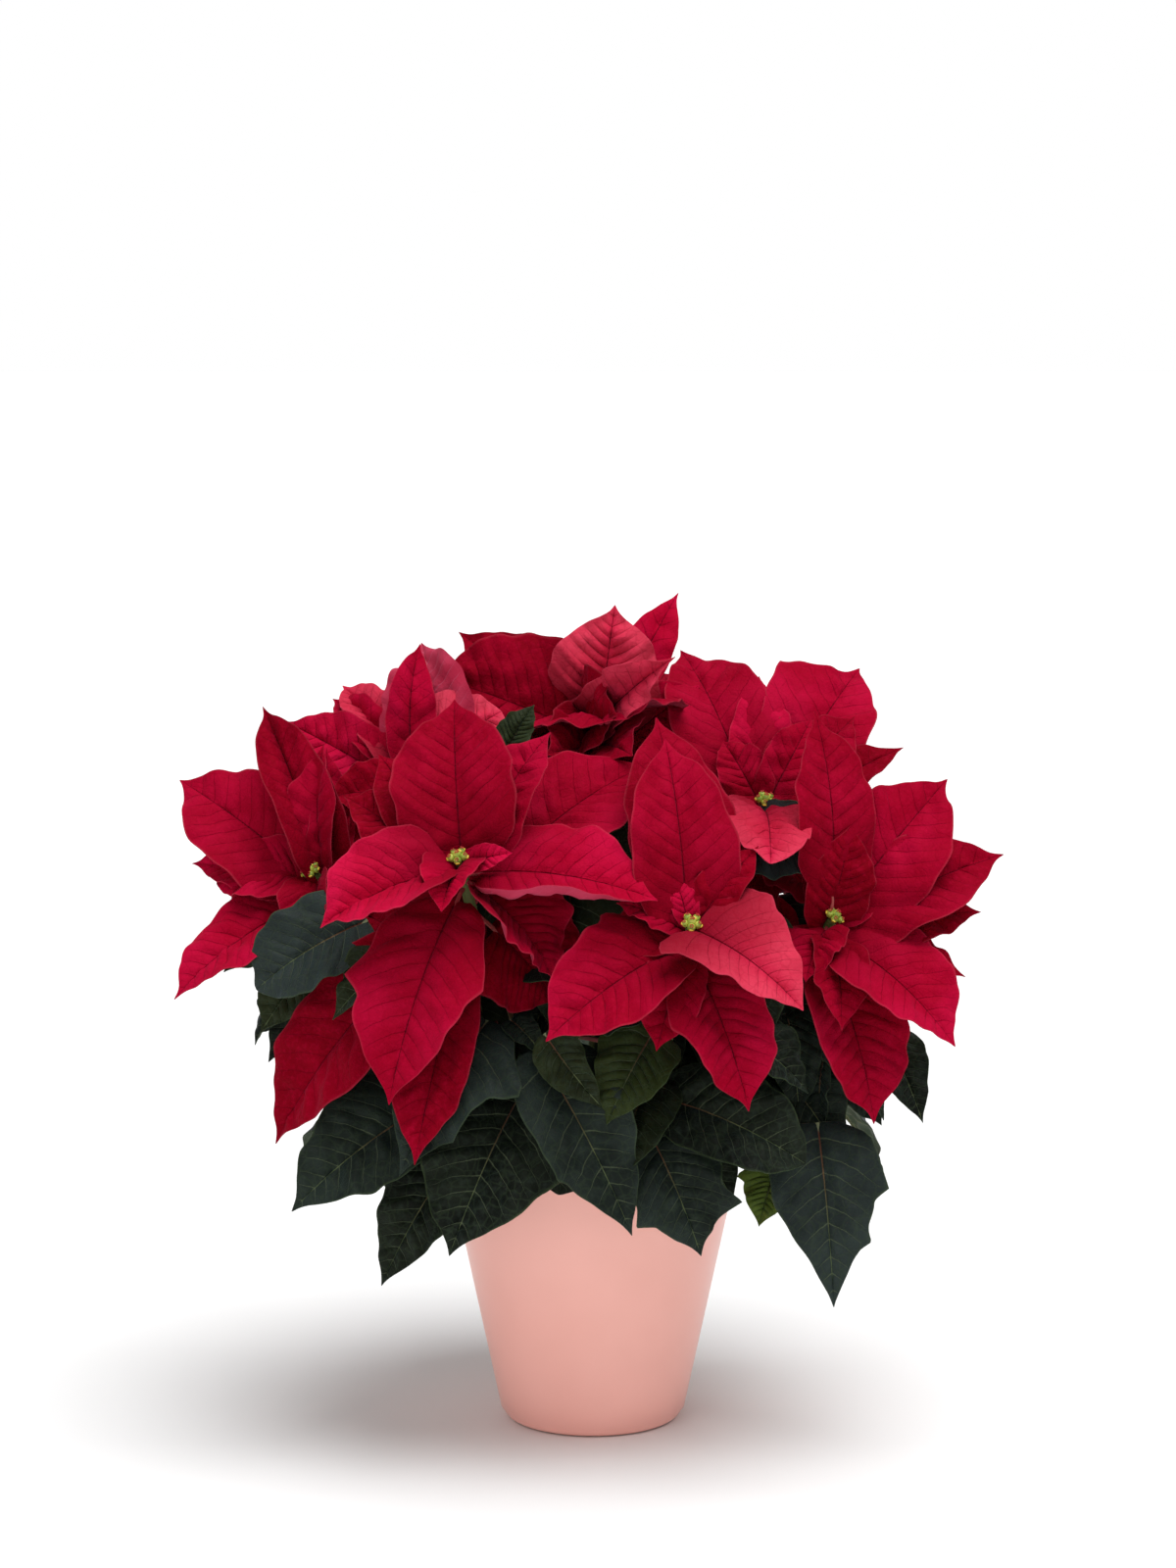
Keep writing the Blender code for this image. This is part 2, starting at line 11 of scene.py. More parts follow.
import bpy
import numpy as np
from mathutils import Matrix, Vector


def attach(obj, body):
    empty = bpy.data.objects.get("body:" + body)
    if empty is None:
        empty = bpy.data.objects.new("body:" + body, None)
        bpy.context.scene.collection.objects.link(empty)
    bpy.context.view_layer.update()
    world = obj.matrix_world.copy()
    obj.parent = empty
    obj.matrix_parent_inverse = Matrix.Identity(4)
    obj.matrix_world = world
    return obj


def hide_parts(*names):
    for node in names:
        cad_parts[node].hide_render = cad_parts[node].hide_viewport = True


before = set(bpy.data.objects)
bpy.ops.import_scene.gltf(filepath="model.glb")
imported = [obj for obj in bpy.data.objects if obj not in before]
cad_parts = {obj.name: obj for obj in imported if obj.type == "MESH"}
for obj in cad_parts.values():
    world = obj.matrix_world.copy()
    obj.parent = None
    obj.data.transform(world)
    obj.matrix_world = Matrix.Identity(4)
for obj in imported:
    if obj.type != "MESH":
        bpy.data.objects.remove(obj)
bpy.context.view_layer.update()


# ------------------------------------------------------------------ pot
# The pot is slip-cast earthenware with a smooth satin glaze: a plain tapered wall, a rounded foot and a
# plain rim. It is turned from one outline, and the glaze pools a little thinner along the rim.
MM = 0.001
POT_HEIGHT = 145 * MM
POT_FOOT_RADIUS = 49 * MM
POT_RIM_RADIUS = 80 * MM
POT_WALL = 3.2 * MM
POT_FLOOR = 5 * MM
FOOT_ROUNDING = 6 * MM
FOOT_HOLLOW = 1.2 * MM
FOOT_RING = 13 * MM
RIM_ROUNDING = 1.5 * MM
RIM_WEAR = 1.6 * MM
POT_SLOPE = (POT_RIM_RADIUS - POT_FOOT_RADIUS) / POT_HEIGHT
TURNING_STEPS = 128


def select_only(*pieces):
    """Selects these pieces and nothing else, with the first one active."""
    if bpy.context.object and bpy.context.object.mode != "OBJECT":
        bpy.ops.object.mode_set(mode="OBJECT")
    bpy.ops.object.select_all(action="DESELECT")
    for piece in pieces:
        piece.select_set(True)
    if pieces:
        bpy.context.view_layer.objects.active = pieces[0]


def smooth(piece, angle=40):
    select_only(piece)
    bpy.ops.object.shade_smooth_by_angle(angle=math.radians(angle))


def finish(piece, slot, *nodes):
    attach(piece, "root")
    if nodes:
        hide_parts(*nodes)


def turned_piece(name, outline, steps):
    """An outline of (radius, height) points, from the axis round to the axis, turned once round Z."""
    select_only()
    bpy.ops.mesh.primitive_plane_add(size=POT_WALL)
    piece = bpy.context.object
    piece.name = name
    bpy.ops.object.mode_set(mode="EDIT")
    bpy.ops.mesh.delete(type="VERT")
    bpy.ops.object.mode_set(mode="OBJECT")
    piece.data.from_pydata([(r, 0, z) for r, z in outline], [(k, k + 1) for k in range(len(outline) - 1)], [])
    bpy.ops.object.mode_set(mode="EDIT")
    bpy.ops.mesh.select_all(action="SELECT")
    bpy.ops.mesh.spin(steps=steps, angle=2 * math.pi, center=(0, 0, 0), axis=(0, 0, 1))
    bpy.ops.mesh.select_all(action="SELECT")
    bpy.ops.mesh.remove_doubles(threshold=1e-6)
    bpy.ops.mesh.normals_make_consistent(inside=False)
    bpy.ops.object.mode_set(mode="OBJECT")
    return piece


def material(name, colour, roughness, specular=0.5):
    made = bpy.data.materials.new(name)
    made.use_nodes = True
    shader = made.node_tree.nodes["Principled BSDF"]
    shader.inputs["Base Color"].default_value = (*colour, 1)
    shader.inputs["Roughness"].default_value = roughness
    shader.inputs["Specular IOR Level"].default_value = specular
    return made, shader


def add_node(beside, kind, **settings):
    """A node in the same tree as a node or socket. Its settings are its sockets' values or its own options."""
    node = beside.id_data.nodes.new(kind)
    for setting, value in settings.items():
        if setting in node.inputs:
            node.inputs[setting].default_value = value
        else:
            setattr(node, setting, value)
    return node


def feed(socket, value):
    """Links a socket to another socket, or gives it a plain number or colour."""
    if isinstance(value, bpy.types.NodeSocket):
        socket.id_data.links.new(value, socket)
    else:
        socket.default_value = value if isinstance(value, (int, float)) else (*value, 1)


def blend_colour(factor, first, second):
    """A colour between two colours, each a socket or a plain colour."""
    node = add_node(factor, "ShaderNodeMix", data_type="RGBA")
    for place, value in ((0, factor), (6, first), (7, second)):  # the colour mix's own sockets
        feed(node.inputs[place], value)
    return node.outputs[2]




def ramp_between(value, low, high, low_out=0.0, high_out=1.0):
    """A smooth step of a value from low to high."""
    node = add_node(value, "ShaderNodeMapRange", interpolation_type="SMOOTHSTEP")
    for socket, number in zip(node.inputs, (value, low, high, low_out, high_out)):
        feed(socket, number)
    return node.outputs["Result"]


def mottled(value, low, high, first, second):
    """A colour that goes from the first to the second as a value goes from low to high."""
    return blend_colour(ramp_between(value, low, high), first, second)


def noise(where, scale, detail=3, rough=0.5):
    node = add_node(where, "ShaderNodeTexNoise", Scale=scale, Detail=detail, Roughness=rough)
    feed(node.inputs["Vector"], where)
    return node.outputs["Fac"]


def paint(shader, colour, roughness=None):
    feed(shader.inputs["Base Color"], colour)
    if roughness:
        feed(shader.inputs["Roughness"], roughness)


def bump(shader, height, distance, strength=1.0):
    node = add_node(shader, "ShaderNodeBump", Strength=strength, Distance=distance)
    feed(node.inputs["Height"], height)
    feed(shader.inputs["Normal"], node.outputs["Normal"])


def object_place(beside):
    return add_node(beside, "ShaderNodeTexCoord").outputs["Object"]


def height_up(where):
    node = add_node(where, "ShaderNodeSeparateXYZ")
    feed(node.inputs[0], where)
    return node.outputs["Z"]


def pot_outline():
    """The wall's section: up the outside from the hollow under the foot, over the rim and down the inside."""
    points = [(0, FOOT_HOLLOW), (POT_FOOT_RADIUS - FOOT_RING - 1 * MM, FOOT_HOLLOW), (POT_FOOT_RADIUS - FOOT_RING, 0)]
    for angle in np.linspace(0, math.pi / 2 - 0.2, 7):
        points.append((POT_FOOT_RADIUS - FOOT_ROUNDING * (1 - math.sin(angle)), FOOT_ROUNDING * (1 - math.cos(angle))))
    shoulder = POT_HEIGHT - RIM_ROUNDING
    for height in np.linspace(FOOT_ROUNDING, shoulder, 12):
        points.append((POT_FOOT_RADIUS + POT_SLOPE * height, height))
    middle = POT_RIM_RADIUS - POT_WALL / 2
    for angle in np.linspace(0.3, math.pi - 0.3, 7):
        points.append((middle + POT_WALL / 2 * math.cos(angle), shoulder + RIM_ROUNDING * math.sin(angle)))
    for height in np.linspace(shoulder, POT_FLOOR, 6):
        points.append((POT_FOOT_RADIUS - POT_WALL + POT_SLOPE * height, height))
    return points + [(0, POT_FLOOR)]


glazed_pot = turned_piece("glazed_pot", pot_outline(), TURNING_STEPS)
smooth(glazed_pot)
glaze, shader = material("salmon_glaze", (0.88, 0.43, 0.36), 0.38, 0.45)
shader.inputs["Coat Weight"].default_value = 0.18
shader.inputs["Coat Roughness"].default_value = 0.22
where = object_place(shader)
cloud = noise(where, 18, 2)
speck = noise(where, 900, 2)
tint = mottled(cloud, 0.3, 0.7, (0.95, 0.465, 0.395), (0.98, 0.49, 0.42))
height = height_up(where)
tint = mottled(height, POT_HEIGHT - RIM_WEAR, POT_HEIGHT, tint, (0.92, 0.56, 0.48))
tint = mottled(height, 1.0 * MM, 0.1 * MM, tint, (0.62, 0.34, 0.24))
paint(shader, tint, ramp_between(cloud, 0.2, 0.8, 0.34, 0.43))
bump(shader, speck, 0.03 * MM, 0.6)
glazed_pot.data.materials.append(glaze)
finish(glazed_pot, "pot", "pot")


# ------------------------------------------------------------------ soil
# The soil is moist peat mix: a crowned bed with lumps, and loose crumbs and a few white perlite grains
# pressed into its surface.
GAP = 0.3 * MM
SOIL_TOP = 126 * MM
SOIL_CROWN = 4 * MM
SOIL_RINGS = 44
LUMP_HEIGHT = 0.7 * MM
CRUMBS = 170
GRAIN_SHARE = 0.2
random = np.random.default_rng(7)


def ripples(x, y, wavelength, count, seed):
    """Smooth noise between -1 and 1: crossed waves with seeded directions and phases."""
    draw = np.random.default_rng(seed)
    total = np.zeros_like(x)
    for turn, phase, stretch in zip(draw.uniform(0, math.pi, count), draw.uniform(0, 2 * math.pi, count),
                                    draw.uniform(0.7, 1.4, count)):
        pull = 2 * math.pi * stretch / wavelength
        total += np.sin((x * math.cos(turn) + y * math.sin(turn)) * pull + phase)
    return total / math.sqrt(count)


def points_of(piece):
    points = np.empty(len(piece.data.vertices) * 3)
    piece.data.vertices.foreach_get("co", points)
    return points.reshape(-1, 3)


def set_points(piece, points):
    piece.data.vertices.foreach_set("co", np.ascontiguousarray(points, np.float32).ravel())
    piece.data.update()


def joined(name, pieces):
    select_only(*pieces)
    bpy.ops.object.join()
    bpy.context.object.name = name
    return bpy.context.object


def soil_crown(radius):
    return SOIL_CROWN * (1 - (radius / soil_radius) ** 2)


soil_radius = POT_FOOT_RADIUS - POT_WALL + POT_SLOPE * SOIL_TOP - 2 * GAP
floor_radius = POT_FOOT_RADIUS - POT_WALL + POT_SLOPE * POT_FLOOR - 2 * GAP
outline = [(0, POT_FLOOR + GAP), (floor_radius, POT_FLOOR + GAP), (soil_radius, SOIL_TOP)]
outline += [(soil_radius * (1 - k / SOIL_RINGS), SOIL_TOP) for k in range(1, SOIL_RINGS + 1)]
potting_mix = turned_piece("potting_mix", outline, TURNING_STEPS)
points = points_of(potting_mix)
top = points[:, 2] > SOIL_TOP - GAP
radius = np.hypot(points[:, 0], points[:, 1])
inside = np.clip((soil_radius - radius) / (6 * MM), 0, 1)
lumps = sum(size * ripples(points[:, 0], points[:, 1], wavelength * MM, count, seed)
            for size, wavelength, count, seed in ((1.3, 21, 7, 3), (0.9, 8, 9, 4), (0.6, 3.6, 9, 5)))
points[:, 2] += np.where(top, soil_crown(radius) + inside * lumps * LUMP_HEIGHT, 0)
set_points(potting_mix, points)
smooth(potting_mix, 60)

crumbs = []
for _ in range(CRUMBS):
    grain = random.random() < GRAIN_SHARE
    size = random.uniform(0.8, 1.5) * MM if grain else random.uniform(0.9, 2.4) * MM
    turn, out = random.uniform(0, 2 * math.pi), math.sqrt(random.uniform(0.02, 0.9)) * soil_radius
    rise = SOIL_TOP + soil_crown(out) + size * 0.3
    select_only()
    bpy.ops.mesh.primitive_ico_sphere_add(subdivisions=1, radius=size,
                                          location=(out * math.cos(turn), out * math.sin(turn), rise),
                                          rotation=random.uniform(0, 3, 3))
    crumb = bpy.context.object
    crumb.scale = (1, random.uniform(0.6, 1), random.uniform(0.5, 0.8))
    bpy.ops.object.transform_apply(location=True, rotation=True, scale=True)
    crumb.data.polygons.foreach_set("material_index", [int(grain)] * len(crumb.data.polygons))
    crumbs.append(crumb)

peat, shader = material("moist_peat", (0.03, 0.018, 0.011), 0.95, 0.2)
where = object_place(shader)
damp = noise(where, 60, 4)
grit = noise(where, 700, 4, 0.7)
tint = mottled(damp, 0.35, 0.65, (0.016, 0.01, 0.007), (0.05, 0.03, 0.018))
tint = mottled(grit, 0.58, 0.7, tint, (0.11, 0.07, 0.045))
paint(shader, tint)
bump(shader, grit, 0.7 * MM)
perlite, shader = material("perlite_grains", (0.72, 0.70, 0.66), 0.85, 0.3)
grit = noise(object_place(shader), 1200, 3)
paint(shader, mottled(grit, 0.4, 0.6, (0.5, 0.47, 0.42), (0.8, 0.79, 0.76)))
bump(shader, grit, 0.3 * MM)
for piece in [potting_mix] + crumbs:
    piece.data.materials.append(peat)
    piece.data.materials.append(perlite)
finish(joined("potting_mix", [potting_mix] + crumbs), "soil", "soil")


# ------------------------------------------------------------------ stem and branches
# The stem is woody and brown at the soil and turns green along the branches, with low rings. Each branch
# is one swept round bar that grows out of the trunk.
TRUNK_RADIUS = 7 * MM
TRUNK_DEPTH = 40 * MM
TRUNK_TOP = 168 * MM
TRUNK_STATIONS = 24
BRANCH_START_RADIUS = 4.2 * MM
SHOOT_RADIUS = 3 * MM
SHOOT_LENGTH = 48 * MM
STRAIGHT_END = 6 * MM
BRANCH_STEPS = 6

Shoot = namedtuple("Shoot", "flower lean face")
SHOOTS = {  # the flower's place in millimetres, the way the shoot points, and the way its bracts' upper sides face
    "front_left": Shoot((-69, -115, 327), (-0.15, -0.62, 0.77), (-0.15, -0.62, 0.77)),
    "left": Shoot((-148, -40, 307), (-0.5, -0.42, 0.76), (-0.4, -0.6, 0.7)),
    "upper_left": Shoot((-98, -10, 357), (-0.35, -0.35, 0.87), (-0.2, -0.85, 0.5)),
    "top": Shoot((3, 25, 380), (0, -0.25, 0.97), (0, -0.93, 0.37)),
    "front_right": Shoot((50, -130, 295), (0.1, -0.62, 0.78), (0.1, -0.62, 0.78)),
    "upper_right": Shoot((91, -35, 344), (0.15, -0.5, 0.85), (0.1, -0.7, 0.7)),
    "right": Shoot((126, -70, 288), (0.42, -0.5, 0.76), (0.3, -0.65, 0.7)),
    "back_left": Shoot((-100, 88, 305), (-0.5, 0.52, 0.69), None),
    "back": Shoot((12, 132, 312), (0.05, 0.62, 0.78), None),
    "back_right": Shoot((114, 78, 306), (0.52, 0.48, 0.71), None),
}
FLOWERS = {name: Vector(shoot.flower) * MM for name, shoot in SHOOTS.items()}
LEANS = {name: Vector(shoot.lean).normalized() for name, shoot in SHOOTS.items()}


def branch_curve(name, share):
    """A point on the smooth curve from the trunk to where this shoot's tip begins."""
    flower, lean = FLOWERS[name], LEANS[name]
    end = flower - lean * (SHOOT_LENGTH + GAP + STRAIGHT_END)
    start = Vector((0, 0, TRUNK_TOP - 8 * MM))
    start_pull = start + Vector((end.x, end.y, 0)) * 0.45 + Vector((0, 0, 12 * MM))
    end_pull = end - lean * (end - start).length * 0.35
    rest = 1 - share
    return (start * rest**3 + start_pull * 3 * rest**2 * share
            + end_pull * 3 * rest * share**2 + end * share**3)


def branch_point(name, share):
    """A point on the branch's core, which the CAD model makes straight between its steps."""
    step = min(int(share * BRANCH_STEPS), BRANCH_STEPS - 1)
    before = branch_curve(name, step / BRANCH_STEPS)
    after = branch_curve(name, (step + 1) / BRANCH_STEPS)
    return before.lerp(after, share * BRANCH_STEPS - step)


def branch_radius(share):
    return BRANCH_START_RADIUS + (SHOOT_RADIUS - BRANCH_START_RADIUS) * share


def round_bar(name, route, radii, sides=12):
    """A round bar along a route, with filled ends, made from a bevelled curve."""
    curve = bpy.data.curves.new(name, "CURVE")
    curve.dimensions = "3D"
    curve.bevel_depth = 1.0
    curve.bevel_resolution = (sides - 4) // 2
    curve.use_fill_caps = True
    spline = curve.splines.new("POLY")
    spline.points.add(len(route) - 1)
    for point, place, radius in zip(spline.points, route, radii):
        point.co = (*place, 1)
        point.radius = radius
    bar = bpy.data.objects.new(name, curve)
    bpy.context.scene.collection.objects.link(bar)
    select_only(bar)
    bpy.ops.object.convert(target="MESH")
    return bpy.context.object


def calculate(operation, first, second=0.5, clamp=False):
    """A sum of two values, of which at least one is a socket."""
    socket = first if isinstance(first, bpy.types.NodeSocket) else second
    node = add_node(socket, "ShaderNodeMath", operation=operation, use_clamp=clamp)
    feed(node.inputs[0], first)
    feed(node.inputs[1], second)
    return node.outputs[0]


def times(first, second):
    return calculate("MULTIPLY", first, second)


def less(first, second, clamp=False):
    return calculate("SUBTRACT", first, second, clamp)


bark, shader = material("green_bark", (0.09, 0.12, 0.03), 0.6, 0.35)
where = object_place(shader)
streak = add_node(shader, "ShaderNodeMapping", Scale=(1, 1, 0.18))
feed(streak.inputs["Vector"], where)
grain = noise(streak.outputs[0], 420, 4, 0.6)
patch = noise(where, 60, 3)
woody = ramp_between(height_up(where), 0.24, 0.15)
woody = calculate("ADD", woody, times(less(patch, 0.5), 1.2), clamp=True)
green = mottled(patch, 0.4, 0.65, (0.075, 0.12, 0.028), (0.13, 0.15, 0.045))
brown = mottled(grain, 0.35, 0.65, (0.06, 0.038, 0.02), (0.16, 0.11, 0.06))
paint(shader, blend_colour(woody, green, brown), ramp_between(woody, 0, 1, 0.5, 0.85))
bump(shader, grain, 0.35 * MM, 0.8)

heights = np.linspace(SOIL_TOP - TRUNK_DEPTH + GAP, TRUNK_TOP - 3 * MM, TRUNK_STATIONS)
radii = [min(TRUNK_RADIUS * (1 - 0.2 * k / (TRUNK_STATIONS - 1)) + 0.35 * MM * math.sin(k * 1.9),
             TRUNK_RADIUS - 0.1 * MM) for k in range(TRUNK_STATIONS)]
bars = [round_bar("trunk", [Vector((0.6 * MM * math.sin(z * 70), 0, z)) for z in heights], radii, 20)]
for name in SHOOTS:
    shares = np.linspace(0, 1, 40)
    route = [branch_curve(name, share) for share in shares]
    swell = [0.28 * MM * max(0, math.cos(2 * math.pi * 7 * share)) ** 8 for share in shares]
    radii = [branch_radius(share) + extra for share, extra in zip(shares, swell)]
    end = FLOWERS[name] - LEANS[name] * (SHOOT_LENGTH + GAP / 2)
    bars.append(round_bar("branch", route + [end], radii + [SHOOT_RADIUS], 14))
woody_stem = joined("woody_stem", bars)
woody_stem.data.materials.append(bark)
smooth(woody_stem, 50)
finish(woody_stem, "stem", "stem")


# ------------------------------------------------------------------ green leaves
# Leaves are thin soft blades on round reddish stalks: broad, pointed, some with side lobes, with a sunken
# midrib and side veins that stand out paler. Each is one grid bent to its place and given its thickness.
BLADE_THICKNESS = 0.42 * MM
STALK_RADIUS = 1.3 * MM
RIB_END_RADIUS = 0.22 * MM
FOLD = 16
ARCH_SHARE = 0.1
BEND_STEP = 3 * MM
MOST_BEND_STEPS = 20
TIP_CORNER_REACH = 0.95 * MM
PETIOLE_FOOT = 4 * MM
SHIFTS_ALONG_BRANCH = (0, 0.05, -0.05, 0.1, -0.1, 0.15, -0.15)
SIGHT = np.array((0, 0.99, -0.15))
HALVING_STEPS = 22
ARC_SAMPLES = 12
CROWDING = 1.15  # crowds the cells towards the midrib
VEIN_SLANT = 0.6
TIP_HALF_WIDTH = 0.12 * MM
WAVE_HEIGHT = 1.7 * MM
WAVED_WIDTH = 12 * MM
QUILTED_WIDTH = 9 * MM
PUCKER_HEIGHT = 0.8 * MM
PUCKER_LENGTH = 15 * MM
GROOVE_DEPTH = 0.5 * MM
GROOVE_WIDTH = 1.2 * MM
RIB_STATIONS = 18
RIB_SHARE = 0.93
RIB_SINK = 0.45 * MM

# Outlines give half the width at shares of the blade's length.
DRAWN_OUT_OUTLINE = ((0, 0.3), (0.05, 0.6), (0.12, 0.86), (0.24, 1), (0.38, 0.98), (0.5, 0.85), (0.62, 0.66),
                     (0.74, 0.42), (0.84, 0.24), (0.92, 0.1), (1, 0))
ROUND_LEAF_OUTLINE = ((0, 0.3), (0.05, 0.6), (0.12, 0.82), (0.25, 0.97), (0.4, 1), (0.6, 0.97), (0.76, 0.84),
                      (0.87, 0.6), (0.94, 0.34), (0.98, 0.14), (1, 0))
LEAF_OUTLINE = ((0, 0.25), (0.04, 0.55), (0.1, 0.8), (0.2, 0.97), (0.32, 1), (0.46, 0.93), (0.6, 0.78), (0.72, 0.6),
                (0.82, 0.39), (0.89, 0.2), (0.94, 0.09), (1, 0))
Look = namedtuple("Look", "veins outline lobes sweep curl wave quilt hem tone",
                  defaults=(11, LEAF_OUTLINE, (), 0, 28, 1.1, 1.3, (0, 0), None))


def bent_tip(tip, give, node):
    """The tip where the CAD model has it: bent along the give line by the steps that cleared its neighbours."""
    corners = node_points[node]
    steps = np.arange(-MOST_BEND_STEPS, MOST_BEND_STEPS + 1)
    spots = np.array(tip) + steps[:, None] * BEND_STEP * np.array(give)
    near = (np.linalg.norm(corners[None] - spots[:, None], axis=2) < TIP_CORNER_REACH).sum(1)
    return Vector(spots[int(np.argmax(near - 0.001 * np.abs(steps)))])


def half_width(share, left, look, phases):
    """Half a blade's width over its greatest, at shares of its length, with its uneven edge and its lobes."""
    dense = np.linspace(0, 1, 201)
    outline = np.interp(dense, *zip(*look.outline))
    smoothed = np.convolve(np.pad(outline, 5, mode="edge"), np.ones(11) / 11, mode="valid")
    half = np.interp(share, dense, np.minimum(smoothed, outline * 1.2))
    half *= 1 + 0.04 * np.sin(share * 10 + phases[0] + 2.2 * left) + 0.02 * np.sin(share * 31 + phases[1] + 4 * left)
    for lobe_side, place, height, spread in look.lobes:
        distance = (share - place) / spread
        tooth = np.where(distance < 0, np.clip(1 + distance, 0, 1) ** 1.5, np.clip(1 - 2.6 * distance, 0, 1) ** 1.3)
        half = half + np.where(left if lobe_side < 0 else ~left, tooth * height, 0)
    return half


def blade(name, base, tip, width, stalk, facing, roll, fold, arch, look, materials, seed, cells=(10, 5)):
    """A thin blade from the stalk's end to the tip, and the route and radii of the rib beneath it.

    Its grid's rows follow its side veins. The cells are counted from the midrib to the edge, and from vein to vein.
    """
    draw = np.random.default_rng(seed)
    select_only()
    bpy.ops.mesh.primitive_grid_add(x_subdivisions=2 * cells[0], y_subdivisions=look.veins * cells[1], size=2)
    piece = bpy.context.object
    piece.name = name
    grid = points_of(piece)
    across, along_share = grid[:, 0], np.clip((grid[:, 1] + 1) / 2, 0, 1)
    across = np.sign(across) * np.abs(across) ** CROWDING
    reach = np.abs(across)
    left = across < 0

    ahead = np.array((tip - base).normalized())
    length = (tip - base).length
    up = np.array(facing) - ahead * np.dot(ahead, np.array(facing))
    up /= np.linalg.norm(up)
    side = np.cross(ahead, up)
    turn = math.radians(roll)
    up, side = up * math.cos(turn) + side * math.sin(turn), side * math.cos(turn) - up * math.sin(turn)

    # Half the width of each row is found where the row's slanting line meets the outline.
    blade_length = length - stalk
    slant = VEIN_SLANT * np.clip(along_share * 5 + 0.15, 0, 1)
    phases = draw.uniform(0, 6, 2)
    low, high = np.zeros(len(across)), np.full(len(across), width)
    for _ in range(HALVING_STEPS):
        middle = (low + high) / 2
        place = np.minimum(along_share + 1.15 * slant * middle / blade_length, 1)
        inside = half_width(place, left, look, phases) * width / 2 > middle
        low, high = np.where(inside, middle, low), np.where(inside, high, middle)
    half = np.maximum((low + high) / 2, np.where(along_share > 0.5, TIP_HALF_WIDTH, 0.8 * STALK_RADIUS))

    off = reach * half
    down = np.minimum(stalk + along_share * blade_length + slant * off * (0.75 + 0.4 * reach), length)
    share = down / length
    arc = up * arch + side * look.sweep

    def spine_at(share):
        return np.array(base) + (share[:, None] * ahead + (4 * share * (1 - share))[:, None] * arc) * length

    middle = spine_at(share)
    tangent = ahead + (4 * (1 - 2 * share))[:, None] * arc
    tangent /= np.linalg.norm(tangent, axis=1)[:, None]
    normal = up - tangent * (tangent @ up)[:, None]
    normal /= np.linalg.norm(normal, axis=1)[:, None]
    lateral = np.cross(tangent, normal)

    # The cross-section leaves the midrib rising by the fold, droops towards the edge, and rolls up at a hem.
    stations = reach[:, None] * (np.arange(ARC_SAMPLES) + 0.5) / ARC_SAMPLES
    change = look.curl * (1 + 0.3 * np.sin(along_share * 7 + draw.uniform(0, 6)))
    angle = fold + look.curl / 2 - change[:, None] * stations
    hem = np.where(left, *look.hem) * np.sin(np.pi * np.clip(share, 0, 1)) ** 0.5
    angle = np.radians(angle + hem[:, None] * np.clip((stations - 0.55) / 0.45, 0, 1) ** 1.3)
    out, rise = reach * np.cos(angle).mean(1), reach * np.sin(angle).mean(1) * half
    vein = along_share * look.veins
    pillow = np.abs(np.sin(np.pi * vein)) ** 0.8 - 0.5
    soften = np.clip(reach * 6, 0, 1) * np.clip((1 - reach) * 4, 0.3, 1) * np.clip(half / QUILTED_WIDTH, 0, 1)
    rise += look.quilt * (1.1 - 0.7 * reach) * MM * pillow * soften
    rise += look.quilt * PUCKER_HEIGHT * ripples(across * half, down, PUCKER_LENGTH, 5, seed + 1) * soften
    phase = draw.uniform(0, 6) + np.where(left, 0, draw.uniform(0, 6))
    swell = np.sin(along_share * 2 * math.pi * draw.uniform(1.8, 2.8) + phase)
    swell += 0.45 * np.sin(along_share * 2 * math.pi * draw.uniform(4.5, 6) + phase * 2)
    rise += look.wave * WAVE_HEIGHT * swell * reach**2.4 * np.clip(half / WAVED_WIDTH, 0, 1)
    rise -= GROOVE_DEPTH * np.exp(-(off / GROOVE_WIDTH) ** 2) * (1 - along_share)
    set_points(piece, middle + lateral * (np.sign(across) * out * half)[:, None] + normal * rise[:, None])

    tone = draw.uniform(0, 1) if look.tone is None else look.tone
    for label, values in (("vein", vein), ("reach", reach), ("down", share), ("off", off / MM),
                          ("tone", np.full(len(vein), tone))):
        attribute = piece.data.attributes.new(label, "FLOAT", "POINT")
        attribute.data.foreach_set("value", np.ascontiguousarray(values, np.float32))
    for made in materials:
        piece.data.materials.append(made)
    wall = piece.modifiers.new("wall", "SOLIDIFY")
    wall.thickness, wall.offset, wall.material_offset = BLADE_THICKNESS, 0, 1
    bpy.ops.object.modifier_apply(modifier=wall.name)

    shares = np.linspace(0, RIB_SHARE, RIB_STATIONS)
    radii = np.interp(shares, [0, stalk / length + 0.02, 1], [STALK_RADIUS, STALK_RADIUS * 0.85, RIB_END_RADIUS])
    if stalk == 0:
        radii = np.minimum(radii, 0.05 * width * (1 - shares) + 0.25 * MM)
    under = np.where(shares > stalk / length, radii * 0.75 + RIB_SINK, 0)
    return piece, [Vector(place) for place in spine_at(shares) - up * under[:, None]], list(radii)


def on_ribs(name, piece, *bars):
    """A blade joined with its rib and its stalk, each given with its material."""
    for bar, made in bars:
        bar.data.materials.append(made)
    whole = joined(name, [piece] + [bar for bar, _ in bars])
    smooth(whole, 50)
    return whole


